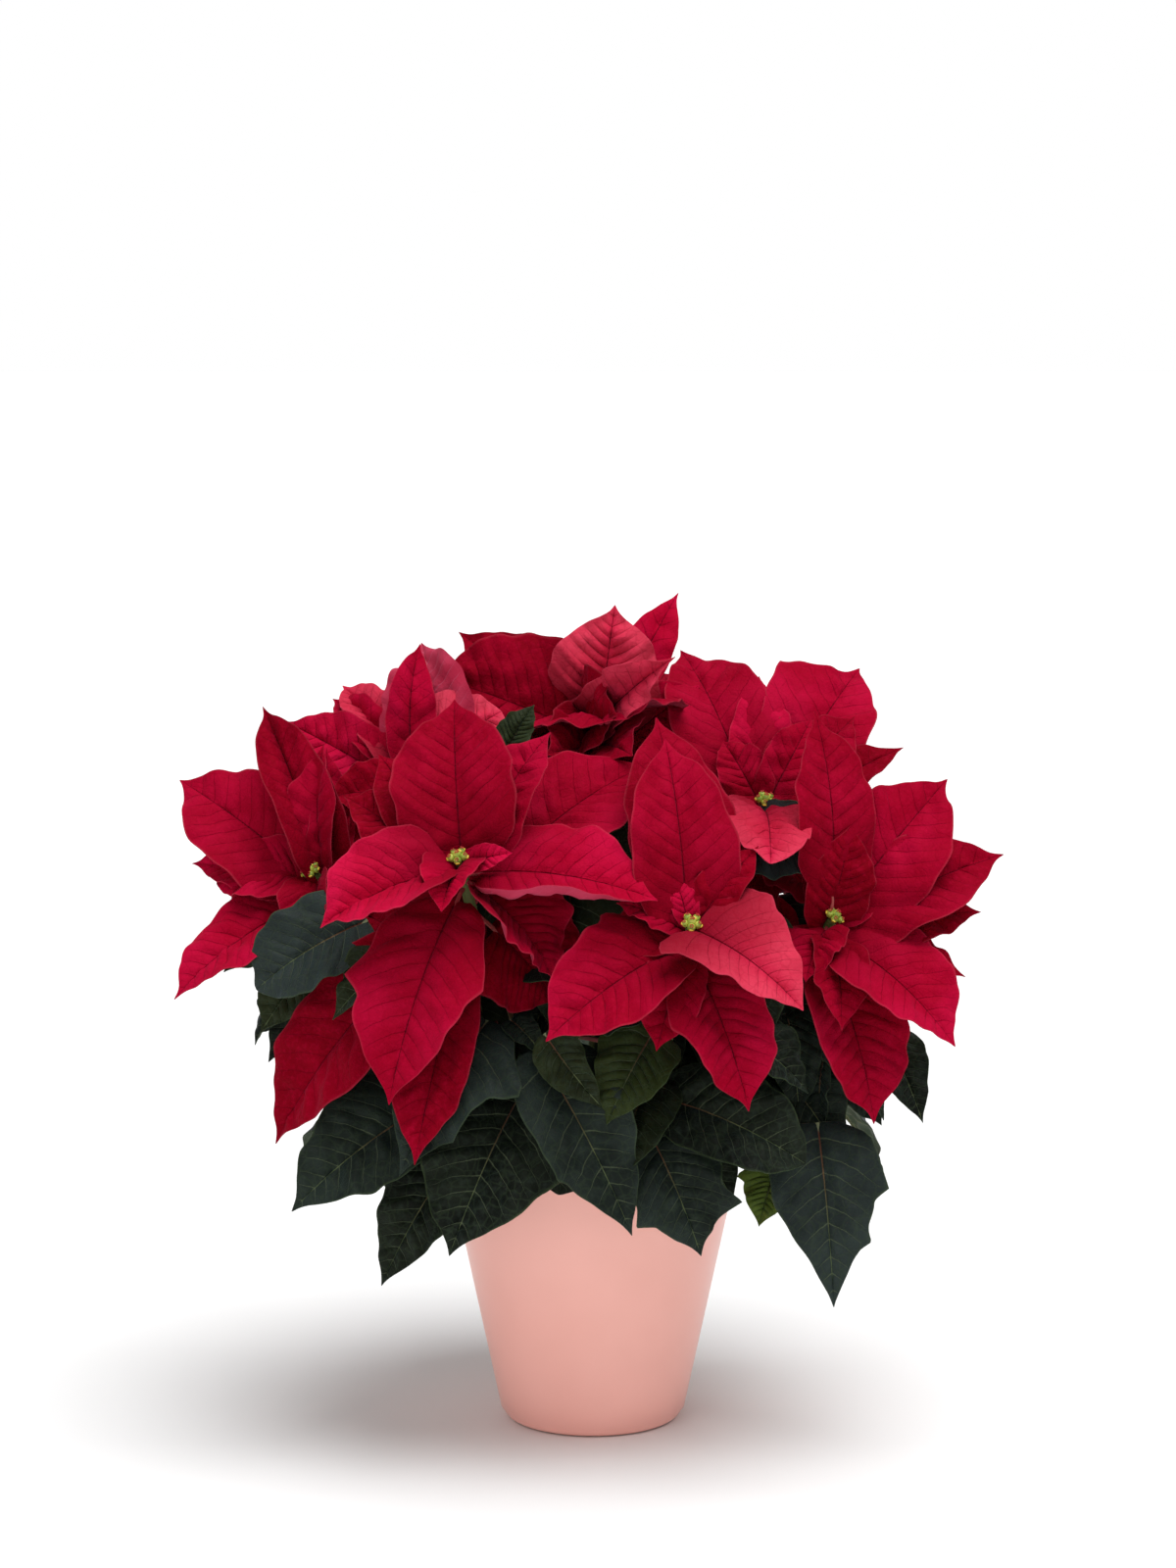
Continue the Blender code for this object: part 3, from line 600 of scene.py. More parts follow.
def vein_group():
    """Masks of a blade's midrib and side veins, and a height for its pillowed surface and fine net."""
    group = bpy.data.node_groups.new("leaf_veins", "ShaderNodeTree")
    for label in ("Midrib Width", "Vein Width"):
        group.interface.new_socket(label, in_out="INPUT", socket_type="NodeSocketFloat")
    for label in ("Midrib", "Veins", "Net", "Height", "Reach", "Down", "Tone"):
        group.interface.new_socket(label, in_out="OUTPUT", socket_type="NodeSocketFloat")
    inputs, outputs = group.nodes.new("NodeGroupInput"), group.nodes.new("NodeGroupOutput")
    read = {}
    for label in ("vein", "reach", "down", "off", "tone"):
        read[label] = add_node(inputs, "ShaderNodeAttribute", attribute_name=label).outputs["Fac"]
    where = object_place(inputs)
    wander = times(less(noise(where, 90, 2), 0.5), 0.34)
    phase = calculate("FRACT", calculate("ADD", read["vein"], wander))
    gap = calculate("MINIMUM", phase, less(1.0, phase))
    narrow = times(inputs.outputs["Vein Width"], less(1.15, read["reach"]))
    veins = less(1.0, calculate("DIVIDE", gap, narrow), clamp=True)
    veins = times(veins, ramp_between(read["reach"], 1.0, 0.82))
    veins = times(veins, ramp_between(read["down"], 1.0, 0.9))
    wide = times(inputs.outputs["Midrib Width"], less(1.2, read["down"]))
    midrib = less(1.0, calculate("DIVIDE", read["off"], wide), clamp=True)
    midrib = ramp_between(midrib, 0.0, 0.5)
    nets = []
    for scale, line in ((420.0, 0.12), (150.0, 0.1)):
        cells = add_node(inputs, "ShaderNodeTexVoronoi", feature="DISTANCE_TO_EDGE", Scale=scale)
        feed(cells.inputs["Vector"], where)
        nets.append(ramp_between(cells.outputs["Distance"], 0.0, line))
    height = calculate("ADD", times(nets[0], 0.22), times(nets[1], 0.3))
    for lines, depth in ((veins, 0.55), (midrib, 0.8)):
        height = less(height, times(lines, depth))
    for label, socket in (("Midrib", midrib), ("Veins", veins), ("Net", nets[1]), ("Height", height),
                          ("Reach", read["reach"]), ("Down", read["down"]), ("Tone", read["tone"])):
        feed(outputs.inputs[label], socket)
    return group


leaf_veins = vein_group()


def veined(shader, midrib_width, vein_width):
    node = add_node(shader, "ShaderNodeGroup", node_tree=leaf_veins)
    node.inputs["Midrib Width"].default_value = midrib_width
    node.inputs["Vein Width"].default_value = vein_width
    return node.outputs


def laid_over(tint, mask, strength, over):
    """A colour laid over the tint where a mask shows, as strongly as told."""
    return blend_colour(times(mask, strength), tint, over)


def sheen(shader, weight, tint, roughness=0.5):
    for label, value in (("Weight", weight), ("Roughness", roughness), ("Tint", (*tint, 1))):
        shader.inputs[f"Sheen {label}"].default_value = value


green_top, shader = material("leaf_upper_side", (0.01, 0.02, 0.012), 0.45, 0.06)
lines = veined(shader, 0.7, 0.06)
where = object_place(shader)
cloud = noise(where, 26, 3)
fine = noise(where, 260, 3)
cool = mottled(cloud, 0.35, 0.65, (0.0070, 0.0105, 0.0072), (0.0175, 0.0255, 0.0205))
warm = mottled(cloud, 0.35, 0.65, (0.0080, 0.0110, 0.0035), (0.0210, 0.0275, 0.0085))
# Painted shade: a tone near 0.5 turns the leaf this dark green, as if it hung in shadow.
shaded_green = mottled(cloud, 0.35, 0.65, (0.0032, 0.0046, 0.0024), (0.0095, 0.0128, 0.0070))
tint = mottled(lines["Tone"], 0.0, 0.5, cool, shaded_green)
tint = mottled(lines["Tone"], 0.5, 1.0, tint, warm)
# Painted sheen: a tone below 0 lays a pale blue-grey over the leaf, as if it caught the light of the sky.
tint = mottled(lines["Tone"], 0.0, -1.0, tint, (0.036, 0.048, 0.050))
tint = laid_over(tint, ramp_between(fine, 0.45, 0.75), 0.3, (0.034, 0.048, 0.036))
tint = mottled(lines["Tone"], 1.0, 2.0, tint, (0.085, 0.125, 0.020))
tint = laid_over(tint, less(1.0, lines["Net"]), 0.28, (0.030, 0.046, 0.022))
tint = laid_over(tint, lines["Veins"], 0.8, (0.085, 0.105, 0.060))
rib_tint = mottled(lines["Down"], 0.0, 0.7, (0.15, 0.05, 0.03), (0.11, 0.14, 0.06))
tint = laid_over(tint, lines["Midrib"], 0.9, rib_tint)
edge = ramp_between(lines["Reach"], 0.96, 1.0, 0.0, 0.25)
tint = blend_colour(edge, tint, (0.08, 0.12, 0.045))
paint(shader, tint, ramp_between(fine, 0.3, 0.7, 0.40, 0.56))
sheen(shader, 0.04, (0.5, 0.75, 0.95))
bump(shader, lines["Height"], 0.45 * MM, 0.9)


def under_side(name, colour, roughness, specular, widths, tints, veins, midrib):
    """The duller side of a blade, with raised veins: the widths of its lines, and their strengths and colours."""
    made, shader = material(name, colour, roughness, specular)
    lines = veined(shader, *widths)
    tint = mottled(noise(object_place(shader), 40, 3), 0.3, 0.7, *tints)
    tint = laid_over(tint, lines["Veins"], *veins)
    paint(shader, laid_over(tint, lines["Midrib"], *midrib))
    bump(shader, lines["Height"], -0.3 * MM, 0.8)
    return made, shader


green_under, _ = under_side("leaf_under_side", (0.06, 0.1, 0.06), 0.65, 0.25, (1.4, 0.13), (
    (0.050, 0.088, 0.058), (0.078, 0.118, 0.07)), (0.7, (0.16, 0.2, 0.11)), (1, (0.2, 0.22, 0.12)))

red_stalk, shader = material("reddish_stalk", (0.2, 0.05, 0.04), 0.5, 0.4)
where = object_place(shader)
tint = mottled(noise(where, 55, 3), 0.38, 0.66, (0.19, 0.035, 0.035), (0.16, 0.13, 0.05))
paint(shader, tint)
bump(shader, noise(where, 900, 2), 0.08 * MM, 0.5)

Leaf = namedtuple("Leaf", "shoot at base tip width roll nearer face look")


def leaf(shoot, at, base, tip, width, roll=0, nearer=0, face=(0, -0.75, 0.66), **look):
    """A leaf by its shoot, the share of the branch that it grows at, and millimetres, degrees and its look."""
    return Leaf(shoot, at, base, tip, width, roll, nearer, face, Look(**look))


LOBED = ((-1, 0.36, 0.30, 0.13), (1, 0.40, 0.34, 0.13))
# Tones near 0.5 paint a leaf in shade and tones below 0 paint a pale sheen on it; other tones give its own green.
LEAVES = [
    leaf("left", 0.80, (-118, -70, 287), (-176, -80, 252), 54, tone=-0.4, outline=ROUND_LEAF_OUTLINE),
    leaf("left", 0.62, (-135, -42, 272), (-176, -55, 224), 44),
    leaf("left", 0.50, (-125, -20, 262), (-173, -40, 205), 52),
    leaf("left", 0.90, (-140, -5, 285), (-198, -20, 250), 50),
    leaf("front_left", 0.45, (-86, -95, 194), (-156, -120, 143), 66, tone=0.15),
    leaf("front_left", 0.62, (-55, -85, 237), (-99, -105, 162), 58, nearer=12, tone=-0.25,
         lobes=((-1, 0.4, 0.6, 0.2), (-1, 0.74, 0.16, 0.1))),
    leaf("front_left", 0.25, (-69, -85, 169), (-111, -95, 97), 46, lobes=LOBED, tone=0.55),
    leaf("front_left", 0.35, (-36, -100, 204), (-74, -125, 122), 84, lobes=((-1, 0.42, 0.2, 0.3),), tone=0.42),
    leaf("front_right", 0.50, (-30, -115, 228), (20, -135, 134), 60, tone=-0.15, lobes=((1, 0.6, 0.12, 0.1),)),
    leaf("front_right", 0.66, (-25, -125, 238), (5, -140, 202), 28, 30),
    leaf("front_right", 0.72, (32, -115, 238), (7, -132, 192), 46, tone=1.25),
    leaf("front_right", 0.40, (34, -95, 198), (110, -115, 167), 56, outline=ROUND_LEAF_OUTLINE, tone=0.4),
    leaf("front_right", 0.28, (28, -105, 184), (56, -130, 121), 58, tone=-0.15,
         lobes=((1, 0.62, 0.3, 0.16), (-1, 0.74, 0.5, 0.2))),
    leaf("right", 0.80, (101, -50, 246), (109, -70, 182), 38),
    leaf("right", 0.45, (118, -80, 181), (126, -105, 88), 60, tone=-0.35, outline=DRAWN_OUT_OUTLINE,
         lobes=((-1, 0.4, 0.22, 0.14), (-1, 0.66, 0.16, 0.1))),
    leaf("upper_right", 0.15, (99, -20, 143), (89, -40, 115), 32, tone=2, lobes=LOBED),
    leaf("right", 0.62, (128, -40, 207), (153, -60, 175), 36),
    leaf("right", 0.90, (155, -20, 219), (176, -45, 173), 32),
    leaf("right", 0.55, (122, -65, 212), (122, -75, 170), 18, 40),
    leaf("front_left", 0.75, (-43, -100, 240), (-25, -115, 224), 18),
    leaf("top", 0.85, (-46, -45, 371), (-31, -40, 397), 24, tone=1.1, curl=60),
    leaf("upper_right", 0.86, (80, -42, 323), (130, -72, 314), 54, tone=-0.8, hem=(60, 0)),
    leaf("front_left", 0.85, (-12, -62, 312), (-12, -90, 220), 64),
    leaf("front_right", 0.80, (22, -60, 285), (40, -85, 205), 60),
    leaf("upper_right", 0.60, (78, -62, 292), (74, -90, 205), 62),
    leaf("front_left", 0.70, (-82, -62, 285), (-92, -88, 200), 60),
    leaf("upper_right", 0.80, (30, -45, 355), (24, -80, 285), 54),
]
HIDDEN_LEAVES = [  # behind the others, where the plant would else be seen through; they aren't in the CAD model
    leaf("front_left", 0.80, (-40, -30, 300), (-20, -55, 232), 50),
    leaf("front_right", 0.62, (-14, -40, 262), (-42, -60, 196), 56),
    leaf("front_right", 0.86, (20, -30, 300), (62, -60, 262), 46),
    leaf("front_right", 0.45, (30, -50, 232), (14, -75, 176), 50),
    leaf("front_left", 0.50, (-50, -50, 236), (-66, -80, 176), 54),
    leaf("upper_right", 0.45, (66, -30, 236), (84, -60, 176), 52),
    leaf("upper_right", 0.70, (96, -30, 292), (118, -48, 236), 50),
    leaf("left", 0.70, (-112, -40, 286), (-140, -58, 236), 46),
    leaf("right", 0.50, (96, -52, 206), (132, -78, 160), 48),
    leaf("front_left", 0.62, (-66, -45, 274), (-54, -62, 206), 50),
    leaf("right", 0.75, (112, -35, 275), (118, -55, 215), 50),
    leaf("front_right", 0.30, (-3, -62, 206), (-18, -92, 145), 60, outline=ROUND_LEAF_OUTLINE),
    leaf("front_right", 0.35, (39, -60, 190), (74, -88, 140), 50),
]
BACK_FACE_RISE = 0.9
HIDDEN_TOGETHER = 5
FIRST_HIDDEN = 40  # its number, which seeds its waves
# Tiers give a count, the first and last angle, the base's and the tip's radius and height, a width and a share.
BACK_TIERS = ((5, 4, 176, 92, 200, 160, 128, 80, 0.42), (4, 28, 152, 100, 250, 172, 196, 76, 0.72))
HIDDEN_TIERS = ((4, 25, 155, 80, 192, 122, 126, 72, 0.3), (4, 14, 166, 70, 232, 128, 176, 66, 0.5),
                (3, -62, -8, 62, 222, 106, 172, 60, 0.45), (3, 188, 242, 62, 222, 106, 172, 60, 0.45),
                (2, -34, -6, 78, 280, 118, 226, 56, 0.75), (2, 186, 214, 78, 280, 118, 226, 56, 0.75))


def back_leaves(tiers):
    rows = []
    for count, first, last, base_radius, base_height, tip_radius, tip_height, width, at in tiers:
        for k in range(count):
            angle = math.radians(first + (last - first) * k / (count - 1))
            out = Vector((math.cos(angle), math.sin(angle), 0))
            base = out * base_radius + Vector((0, 0, base_height))
            tip = out * tip_radius + Vector((0, 0, tip_height))
            near = min(SHOOTS, key=lambda name: (branch_point(name, at) / MM - base).length)
            rows.append(leaf(near, at, base, tip, width, face=out + Vector((0, 0, BACK_FACE_RISE)),
                             lobes=LOBED if k % 2 else ()))
    return rows


def petiole_route(name, at, base, tip):
    """A leaf's stalk: straight out from its branch, then over in one curve to the blade's base."""
    core = branch_point(name, at)
    ahead = (branch_point(name, at + 0.02) - core).normalized()
    away = (base - core - ahead * (base - core).dot(ahead)).normalized()
    start = core + away * (branch_radius(at) + GAP)
    foot = start + away * PETIOLE_FOOT
    reach = (base - foot).length
    lift = foot + away * (reach * 0.4) + Vector((0, 0, reach * 0.25))
    end = base + (tip - base).normalized() * (2 * STALK_RADIUS)
    shares = np.linspace(0, 1, 14)
    root = start - away * (GAP + 0.8 * MM)
    return start, [root, start] + [foot * (1 - s) ** 2 + lift * (2 * s * (1 - s)) + end * s**2 for s in shares]


def make_leaf(number, row, node=None, cells=(10, 5)):
    """A leaf's blade, rib and stalk. With a CAD node it takes that node's bent tip and its place on the branch."""
    base, tip, face, at = Vector(row.base) * MM, Vector(row.tip) * MM, Vector(row.face), row.at
    if node:
        tip = bent_tip(tip, SIGHT if face.y < 0 else face.normalized(), node)
        misses = []
        for shift in SHIFTS_ALONG_BRANCH:
            start, _ = petiole_route(row.shoot, row.at + shift, base, tip)
            misses.append(np.sort(np.linalg.norm(node_points[node] - np.array(start), axis=1))[:4].sum())
        at += SHIFTS_ALONG_BRANCH[int(np.argmin(misses))]
    base, tip = base - Vector(SIGHT) * row.nearer * MM, tip - Vector(SIGHT) * row.nearer * MM
    piece, spine, radii = blade("leaf_blade", base, tip, row.width * MM, 0, face, row.roll, FOLD, ARCH_SHARE,
                                row.look, (green_top, green_under), 500 + number, cells)
    _, route = petiole_route(row.shoot, at, base, tip)
    stalk_radii = [STALK_RADIUS * 1.25] * 2 + [STALK_RADIUS] * (len(route) - 3) + [radii[0]]
    whole = on_ribs(f"leaf_blade_{number:02d}", piece, (round_bar("petiole", route, stalk_radii, 8), red_stalk),
                    (round_bar("midrib", spine, radii, 6), green_under))
    if node:
        finish(whole, "leaf", node)
    return whole


node_points = {name: points_of(node) for name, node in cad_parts.items()}
for number, row in enumerate(LEAVES + back_leaves(BACK_TIERS), 1):
    make_leaf(number, row, f"leaf_{number:02d}", (10, 5) if number <= len(LEAVES) else (9, 4))
hidden = HIDDEN_LEAVES + back_leaves(HIDDEN_TIERS)
for first in range(0, len(hidden), HIDDEN_TOGETHER):
    together = [make_leaf(number, row, None, (7, 3))
                for number, row in enumerate(hidden[first:first + HIDDEN_TOGETHER], FIRST_HIDDEN + first)]
    finish(joined(f"hidden_leaves_{first // HIDDEN_TOGETHER + 1}", together), "leaf")


# ------------------------------------------------------------------ bracts
# Bracts are soft crimson leaves round each cluster of flowers: velvety above, paler and pinker below,
# puckered between their side veins, with a fine pale edge. Each grows on a short stalk from its shoot.
crimson, shader = material("bract_upper_side", (0.35, 0.002, 0.015), 0.6, 0.015)
lines = veined(shader, 0.7, 0.07)
where = object_place(shader)
cloud = noise(where, 30, 3)
fine = noise(where, 420, 3)
# The tone paints light onto each bract: deep crimson painted shade at 0, its bright red at 1, and above 1 a pale
# painted highlight that is strongest towards the edge.
shaded_crimson = mottled(cloud, 0.35, 0.7, (0.17, 0.0003, 0.006), (0.24, 0.0005, 0.010))
bright = mottled(cloud, 0.35, 0.7, (0.38, 0.001, 0.022), (0.50, 0.004, 0.044))
tint = blend_colour(lines["Tone"], shaded_crimson, bright)
lit = times(ramp_between(lines["Tone"], 1.0, 2.0), ramp_between(lines["Reach"], 0, 0.9, 0.4, 1))
tint = laid_over(tint, lit, ramp_between(cloud, 0.35, 0.6, 0.65, 1), (0.64, 0.052, 0.095))
tint = laid_over(tint, ramp_between(fine, 0.4, 0.8), 0.25, (0.48, 0.005, 0.04))
# Painted shade: each bract darkens towards its stalk, in the crowded middle of the shoot.
tint = laid_over(tint, ramp_between(lines["Down"], 0.7, 0.05), 0.75, (0.14, 0.0003, 0.005))
tint = laid_over(tint, less(1.0, lines["Net"]), 0.16, (0.24, 0.001, 0.010))
tint = laid_over(tint, lines["Veins"], 0.55, (0.13, 0.0004, 0.005))
tint = laid_over(tint, lines["Midrib"], 0.75, (0.10, 0.0005, 0.006))
edge = ramp_between(lines["Reach"], 0.96, 1.0, 0.0, 0.16)
tint = blend_colour(edge, tint, (0.55, 0.08, 0.12))
paint(shader, tint, ramp_between(fine, 0.3, 0.7, 0.55, 0.70))
sheen(shader, 0.09, (1.0, 0.14, 0.3), 0.35)
bump(shader, lines["Height"], 0.45 * MM, 0.85)

pink_under, shader = under_side("bract_under_side", (0.5, 0.07, 0.12), 0.68, 0.05, (1.0, 0.11), (
    (0.34, 0.014, 0.042), (0.44, 0.036, 0.080)), (0.5, (0.52, 0.11, 0.19)), (0.8, (0.55, 0.16, 0.18)))
sheen(shader, 0.1, (1.0, 0.35, 0.5))

bract_stalk, shader = material("bract_stalk", (0.3, 0.02, 0.03), 0.5, 0.35)
tint = mottled(noise(object_place(shader), 80, 3), 0.35, 0.65, (0.24, 0.012, 0.025), (0.34, 0.05, 0.045))
paint(shader, tint)

BRACT_OUTLINE = ((0, 0.2), (0.04, 0.46), (0.1, 0.7), (0.2, 0.9), (0.32, 0.99), (0.44, 1), (0.58, 0.94), (0.7, 0.8),
                 (0.8, 0.58), (0.86, 0.4), (0.9, 0.24), (0.94, 0.1), (1, 0))
HEART_OUTLINE = ((0, 0.6), (0.05, 0.9), (0.14, 1), (0.3, 0.98), (0.5, 0.86), (0.68, 0.66), (0.82, 0.42), (0.9, 0.22),
                 (0.95, 0.09), (1, 0))
ROUNDED_OUTLINE = ((0, 0.2), (0.05, 0.5), (0.12, 0.76), (0.25, 0.95), (0.4, 1), (0.6, 0.97), (0.75, 0.86), (0.87, 0.66),
                   (0.94, 0.45), (0.98, 0.22), (1, 0))
HEART = {"outline": HEART_OUTLINE, "wave": 0.7, "quilt": 0.5}
BRACT_FULLNESS = 1.05
STALK_SHARE = 0.45
WIDE_BRACT = 34
IN_SHADE = 0.0  # a tone with painted light, from deep crimson painted shade at 0 over bright red at 1 to a pale painted highlight at 2
Bract = namedtuple("Bract", "tip width drop stalk roll fold arch nearer turned look")


def bract(tip, width, drop, stalk, roll=0, fold=FOLD, arch=ARCH_SHARE, nearer=0, turned=False,
          outline=BRACT_OUTLINE, **look):
    """A bract by its tip from the flower, and how far below the flower it starts, in millimetres and degrees."""
    look = Look(veins=12 if width > WIDE_BRACT else 8, outline=outline, **look)
    return Bract(tip, width, drop, stalk, roll, fold, arch, nearer, turned, look)


# Each bract's tone says how deep in painted shade or how brightly painted lit it is.
BRACTS = {
    "front_left": [
        bract((-3, 44, 77), 66, 16, 12, tone=0.3),
        bract((-70, -20, -32), 58, 8, 12, 0, 30, tone=1.1),
        bract((-8, -30, -22), 38, 5, 5, 0, 34, tone=1.0, **HEART),
        bract((102, -20, -18), 60, 12, 18, 0, 10, tone=0.9, hem=(0, 150), wave=0.8),
        bract((28, -10, 5), 16, 5, 6, 30, 30, tone=1.0),
        bract((-35, -35, -121), 62, 20, 22, tone=0.5, lobes=((1, 0.5, 0.3, 0.2), (-1, 0.42, 0.2, 0.25))),
        bract((48, -10, -60), 60, 16, 12, -30, 20, tone=0.35, wave=2.0, hem=(0, 20)),
        bract((47, 35, 61), 42, 20, 14, tone=0.5),
        bract((98, 55, 41), 74, 38, 28, tone=0.45, nearer=-16),
        bract((50, 30, -80), 66, 40, 34, 0, 8, tone=IN_SHADE),
        bract((-22, 5, -158), 44, 46, 70, 0, FOLD, 0.04, tone=0.1, nearer=6),
        bract((-97, 25, -155), 64, 42, 62, tone=IN_SHADE),
        bract((-60, 30, 28), 46, 28, 24, tone=IN_SHADE),
    ],
    "left": [
        bract((-74, 40, 44), 62, 18, 14, tone=0.4, quilt=1.1),
        bract((-29, 40, 84), 50, 26, 20, 20, 46, tone=0.1, quilt=1.1),
        bract((6, 20, 64), 26, 12, 10, 30),
        bract((-52, 10, -4), 40, 7, 8, tone=0.6, outline=ROUNDED_OUTLINE),
        bract((-66, 20, 2), 36, 22, 18),
        bract((-72, -30, -62), 46, 18, 18, tone=0.7),
        bract((12, 10, 52), 26, 7, 8, 40),
        bract((-26, 10, 20), 22, 6, 7),
        bract((44, 10, 30), 40, 24, 16, tone=IN_SHADE),
        bract((-30, 70, 20), 46, 30, 24),
    ],
    "upper_left": [
        bract((5, 60, 62), 54, 18, 12, 0, 24, quilt=1.6, sweep=0.08, nearer=15, turned=True),
        bract((-38, 30, 43), 38, 8, 8, 20, 30, tone=1.6),
        bract((-43, 15, 38), 32, 7, 8, 10, 36, tone=0.6),
        bract((-68, -10, 29), 42, 20, 16, tone=1.1),
        bract((49, 25, 29), 56, 8, 6, 0, 6, tone=1.8, outline=ROUNDED_OUTLINE, nearer=20),
        bract((-14, -36, 6), 18, 7, 6, tone=1.0),
        bract((-44, -25, -10), 34, 16, 14, tone=IN_SHADE),
        bract((-36, 56, 24), 44, 28, 22),
    ],
    "top": [
        bract((44, 10, 70), 30, 16, 10),
        bract((9, 12, 61), 60, 8, 6, 0, 8, tone=1.7, quilt=1.9, wave=1.4, nearer=55),
        bract((40, -12, 34), 36, 7, 6, 0, 34, tone=1.6, wave=1.8, nearer=35),
        bract((-84, -30, 27), 78, 12, 10, 0, 8, tone=0.1, quilt=1.4, outline=ROUNDED_OUTLINE, nearer=-25),
        bract((-76, 20, 46), 48, 20, 14, tone=IN_SHADE),
        bract((10, -66, 12), 66, 14, 12, tone=IN_SHADE),
        bract((49, -5, 25), 44, 20, 12, tone=1.3),
        bract((-38, 72, 18), 46, 28, 20),
        bract((40, 74, 8), 46, 26, 18),
    ],
    "front_right": [
        bract((-13, 55, 89), 56, 16, 12, tone=0.35, nearer=14),
        bract((-74, -35, -53), 60, 14, 12, tone=0.5, lobes=((1, 0.3, 0.16, 0.14),)),
        bract((56, -35, -37), 62, 2, 4, 0, 20, tone=1.7, lobes=((1, 0.16, 0.3, 0.16), (-1, 0.3, 0.12, 0.3)), **HEART),
        bract((29, -30, -90), 50, 18, 20, tone=0.5, lobes=((1, 0.4, 0.16, 0.3),)),
        bract((-9, 14, 24), 15, 6, 6),
        bract((-38, 5, 11), 23, 8, 8),
        bract((35, 20, 38), 26, 12, 10, tone=IN_SHADE),
        bract((-17, 45, 102), 62, 36, 24, 8, tone=0.2, nearer=-30),
    ],
    "upper_right": [
        bract((-43, 88, 71), 60, 18, 16, tone=0.45, quilt=1.2),
        bract((55, 88, 61), 60, 24, 18, tone=0.65, quilt=1.1, lobes=((-1, 0.76, 0.55, 0.32),)),
        bract((0, -55, -23), 46, 6, 4, 0, 12, tone=1.6, outline=ROUNDED_OUTLINE),
        bract((-22, 18, 31), 28, 6, 8, -10),
        bract((26, 12, 44), 28, 7, 8, 10),
        bract((76, 40, 24), 30, 28, 20, tone=IN_SHADE),
        bract((-1, 62, 60), 36, 30, 24),
    ],
    "right": [
        bract((62, 40, 68), 64, 18, 14, tone=0.55, quilt=1.0),
        bract((91, 25, 30), 54, 24, 20, tone=0.3),
        bract((27, 12, 28), 30, 8, 8),
        bract((-16, -35, -27), 34, 6, 8, 30, tone=0.5),
        bract((2, 20, 44), 26, 8, 8, -30),
        bract((61, -45, -59), 60, 12, 10, tone=0.6, quilt=1.0),
        bract((2, -48, -50), 32, 8, 12),
        bract((20, -35, -102), 56, 20, 22, tone=0.4),
        bract((69, -5, -30), 32, 22, 20, tone=IN_SHADE),
    ],
}
SPIRAL_TURN = math.radians(137.5)
BACK_BRACTS = 8


def square_to(lean, turn):
    """The direction square to the lean, turned round it."""
    across = lean.orthogonal().normalized()
    return across * math.cos(turn) + lean.cross(across) * math.sin(turn)


def spiral_bracts(lean):
    """The bracts of a shoot behind, from the longest and lowest to the short ones by the flower."""
    rows = []
    for k in range(BACK_BRACTS):
        lift, length = math.radians(-14 + 7 * k), 98 - 8 * k
        tip = (square_to(lean, SPIRAL_TURN * k) * math.cos(lift) + lean * math.sin(lift)) * length
        rows.append(bract(tip, length * 0.52, 32 - 3.5 * k, 24 - 2.4 * k))
    return rows


def make_bract(label, shoot, row, face, seed, cells, node=None):
    """A bract's blade and its stalk, which runs on as the rib beneath it. With a CAD node it takes its bent tip."""
    flower, lean = FLOWERS[shoot], LEANS[shoot]
    tip = flower + Vector(row.tip) * MM
    if node:
        tip = bent_tip(tip, SIGHT if shoot in BRACTS else lean, node) - Vector(SIGHT) * (row.nearer * MM)
    sides = (pink_under, crimson) if row.turned else (crimson, pink_under)
    piece, spine, radii = blade("bract", flower - lean * (row.drop * MM), tip, row.width * BRACT_FULLNESS * MM,
                                row.stalk * STALK_SHARE * MM, face, row.roll, row.fold, row.arch, row.look, sides,
                                seed, cells)
    return on_ribs(label, piece, (round_bar("rib", spine, radii, 6), bract_stalk))


seeds = itertools.count(101)
for name, shoot in SHOOTS.items():
    flower, lean = FLOWERS[name], LEANS[name]
    node = f"bracts_{name}"
    foot = flower - lean * SHOOT_LENGTH
    stations = np.linspace(0, 1, 16)
    radii = [SHOOT_RADIUS * (1 - 0.15 * share) + 0.25 * MM * math.cos(share * 30) ** 6 for share in stations]
    shoot_bar = round_bar(f"shoot_{name}", [foot.lerp(flower, share) for share in stations], radii, 12)
    shoot_bar.data.materials.append(bark)
    smooth(shoot_bar, 50)
    finish(shoot_bar, "bract", node)
    rows, face, cells = BRACTS.get(name), Vector(shoot.face or lean), (10, 5)
    if not rows:
        rows, cells = spiral_bracts(lean), (9, 4)
    for number, row in enumerate(rows, 1):
        finish(make_bract(f"bract_{name}_{number:02d}", name, row, face, next(seeds), cells, node), "bract", node)
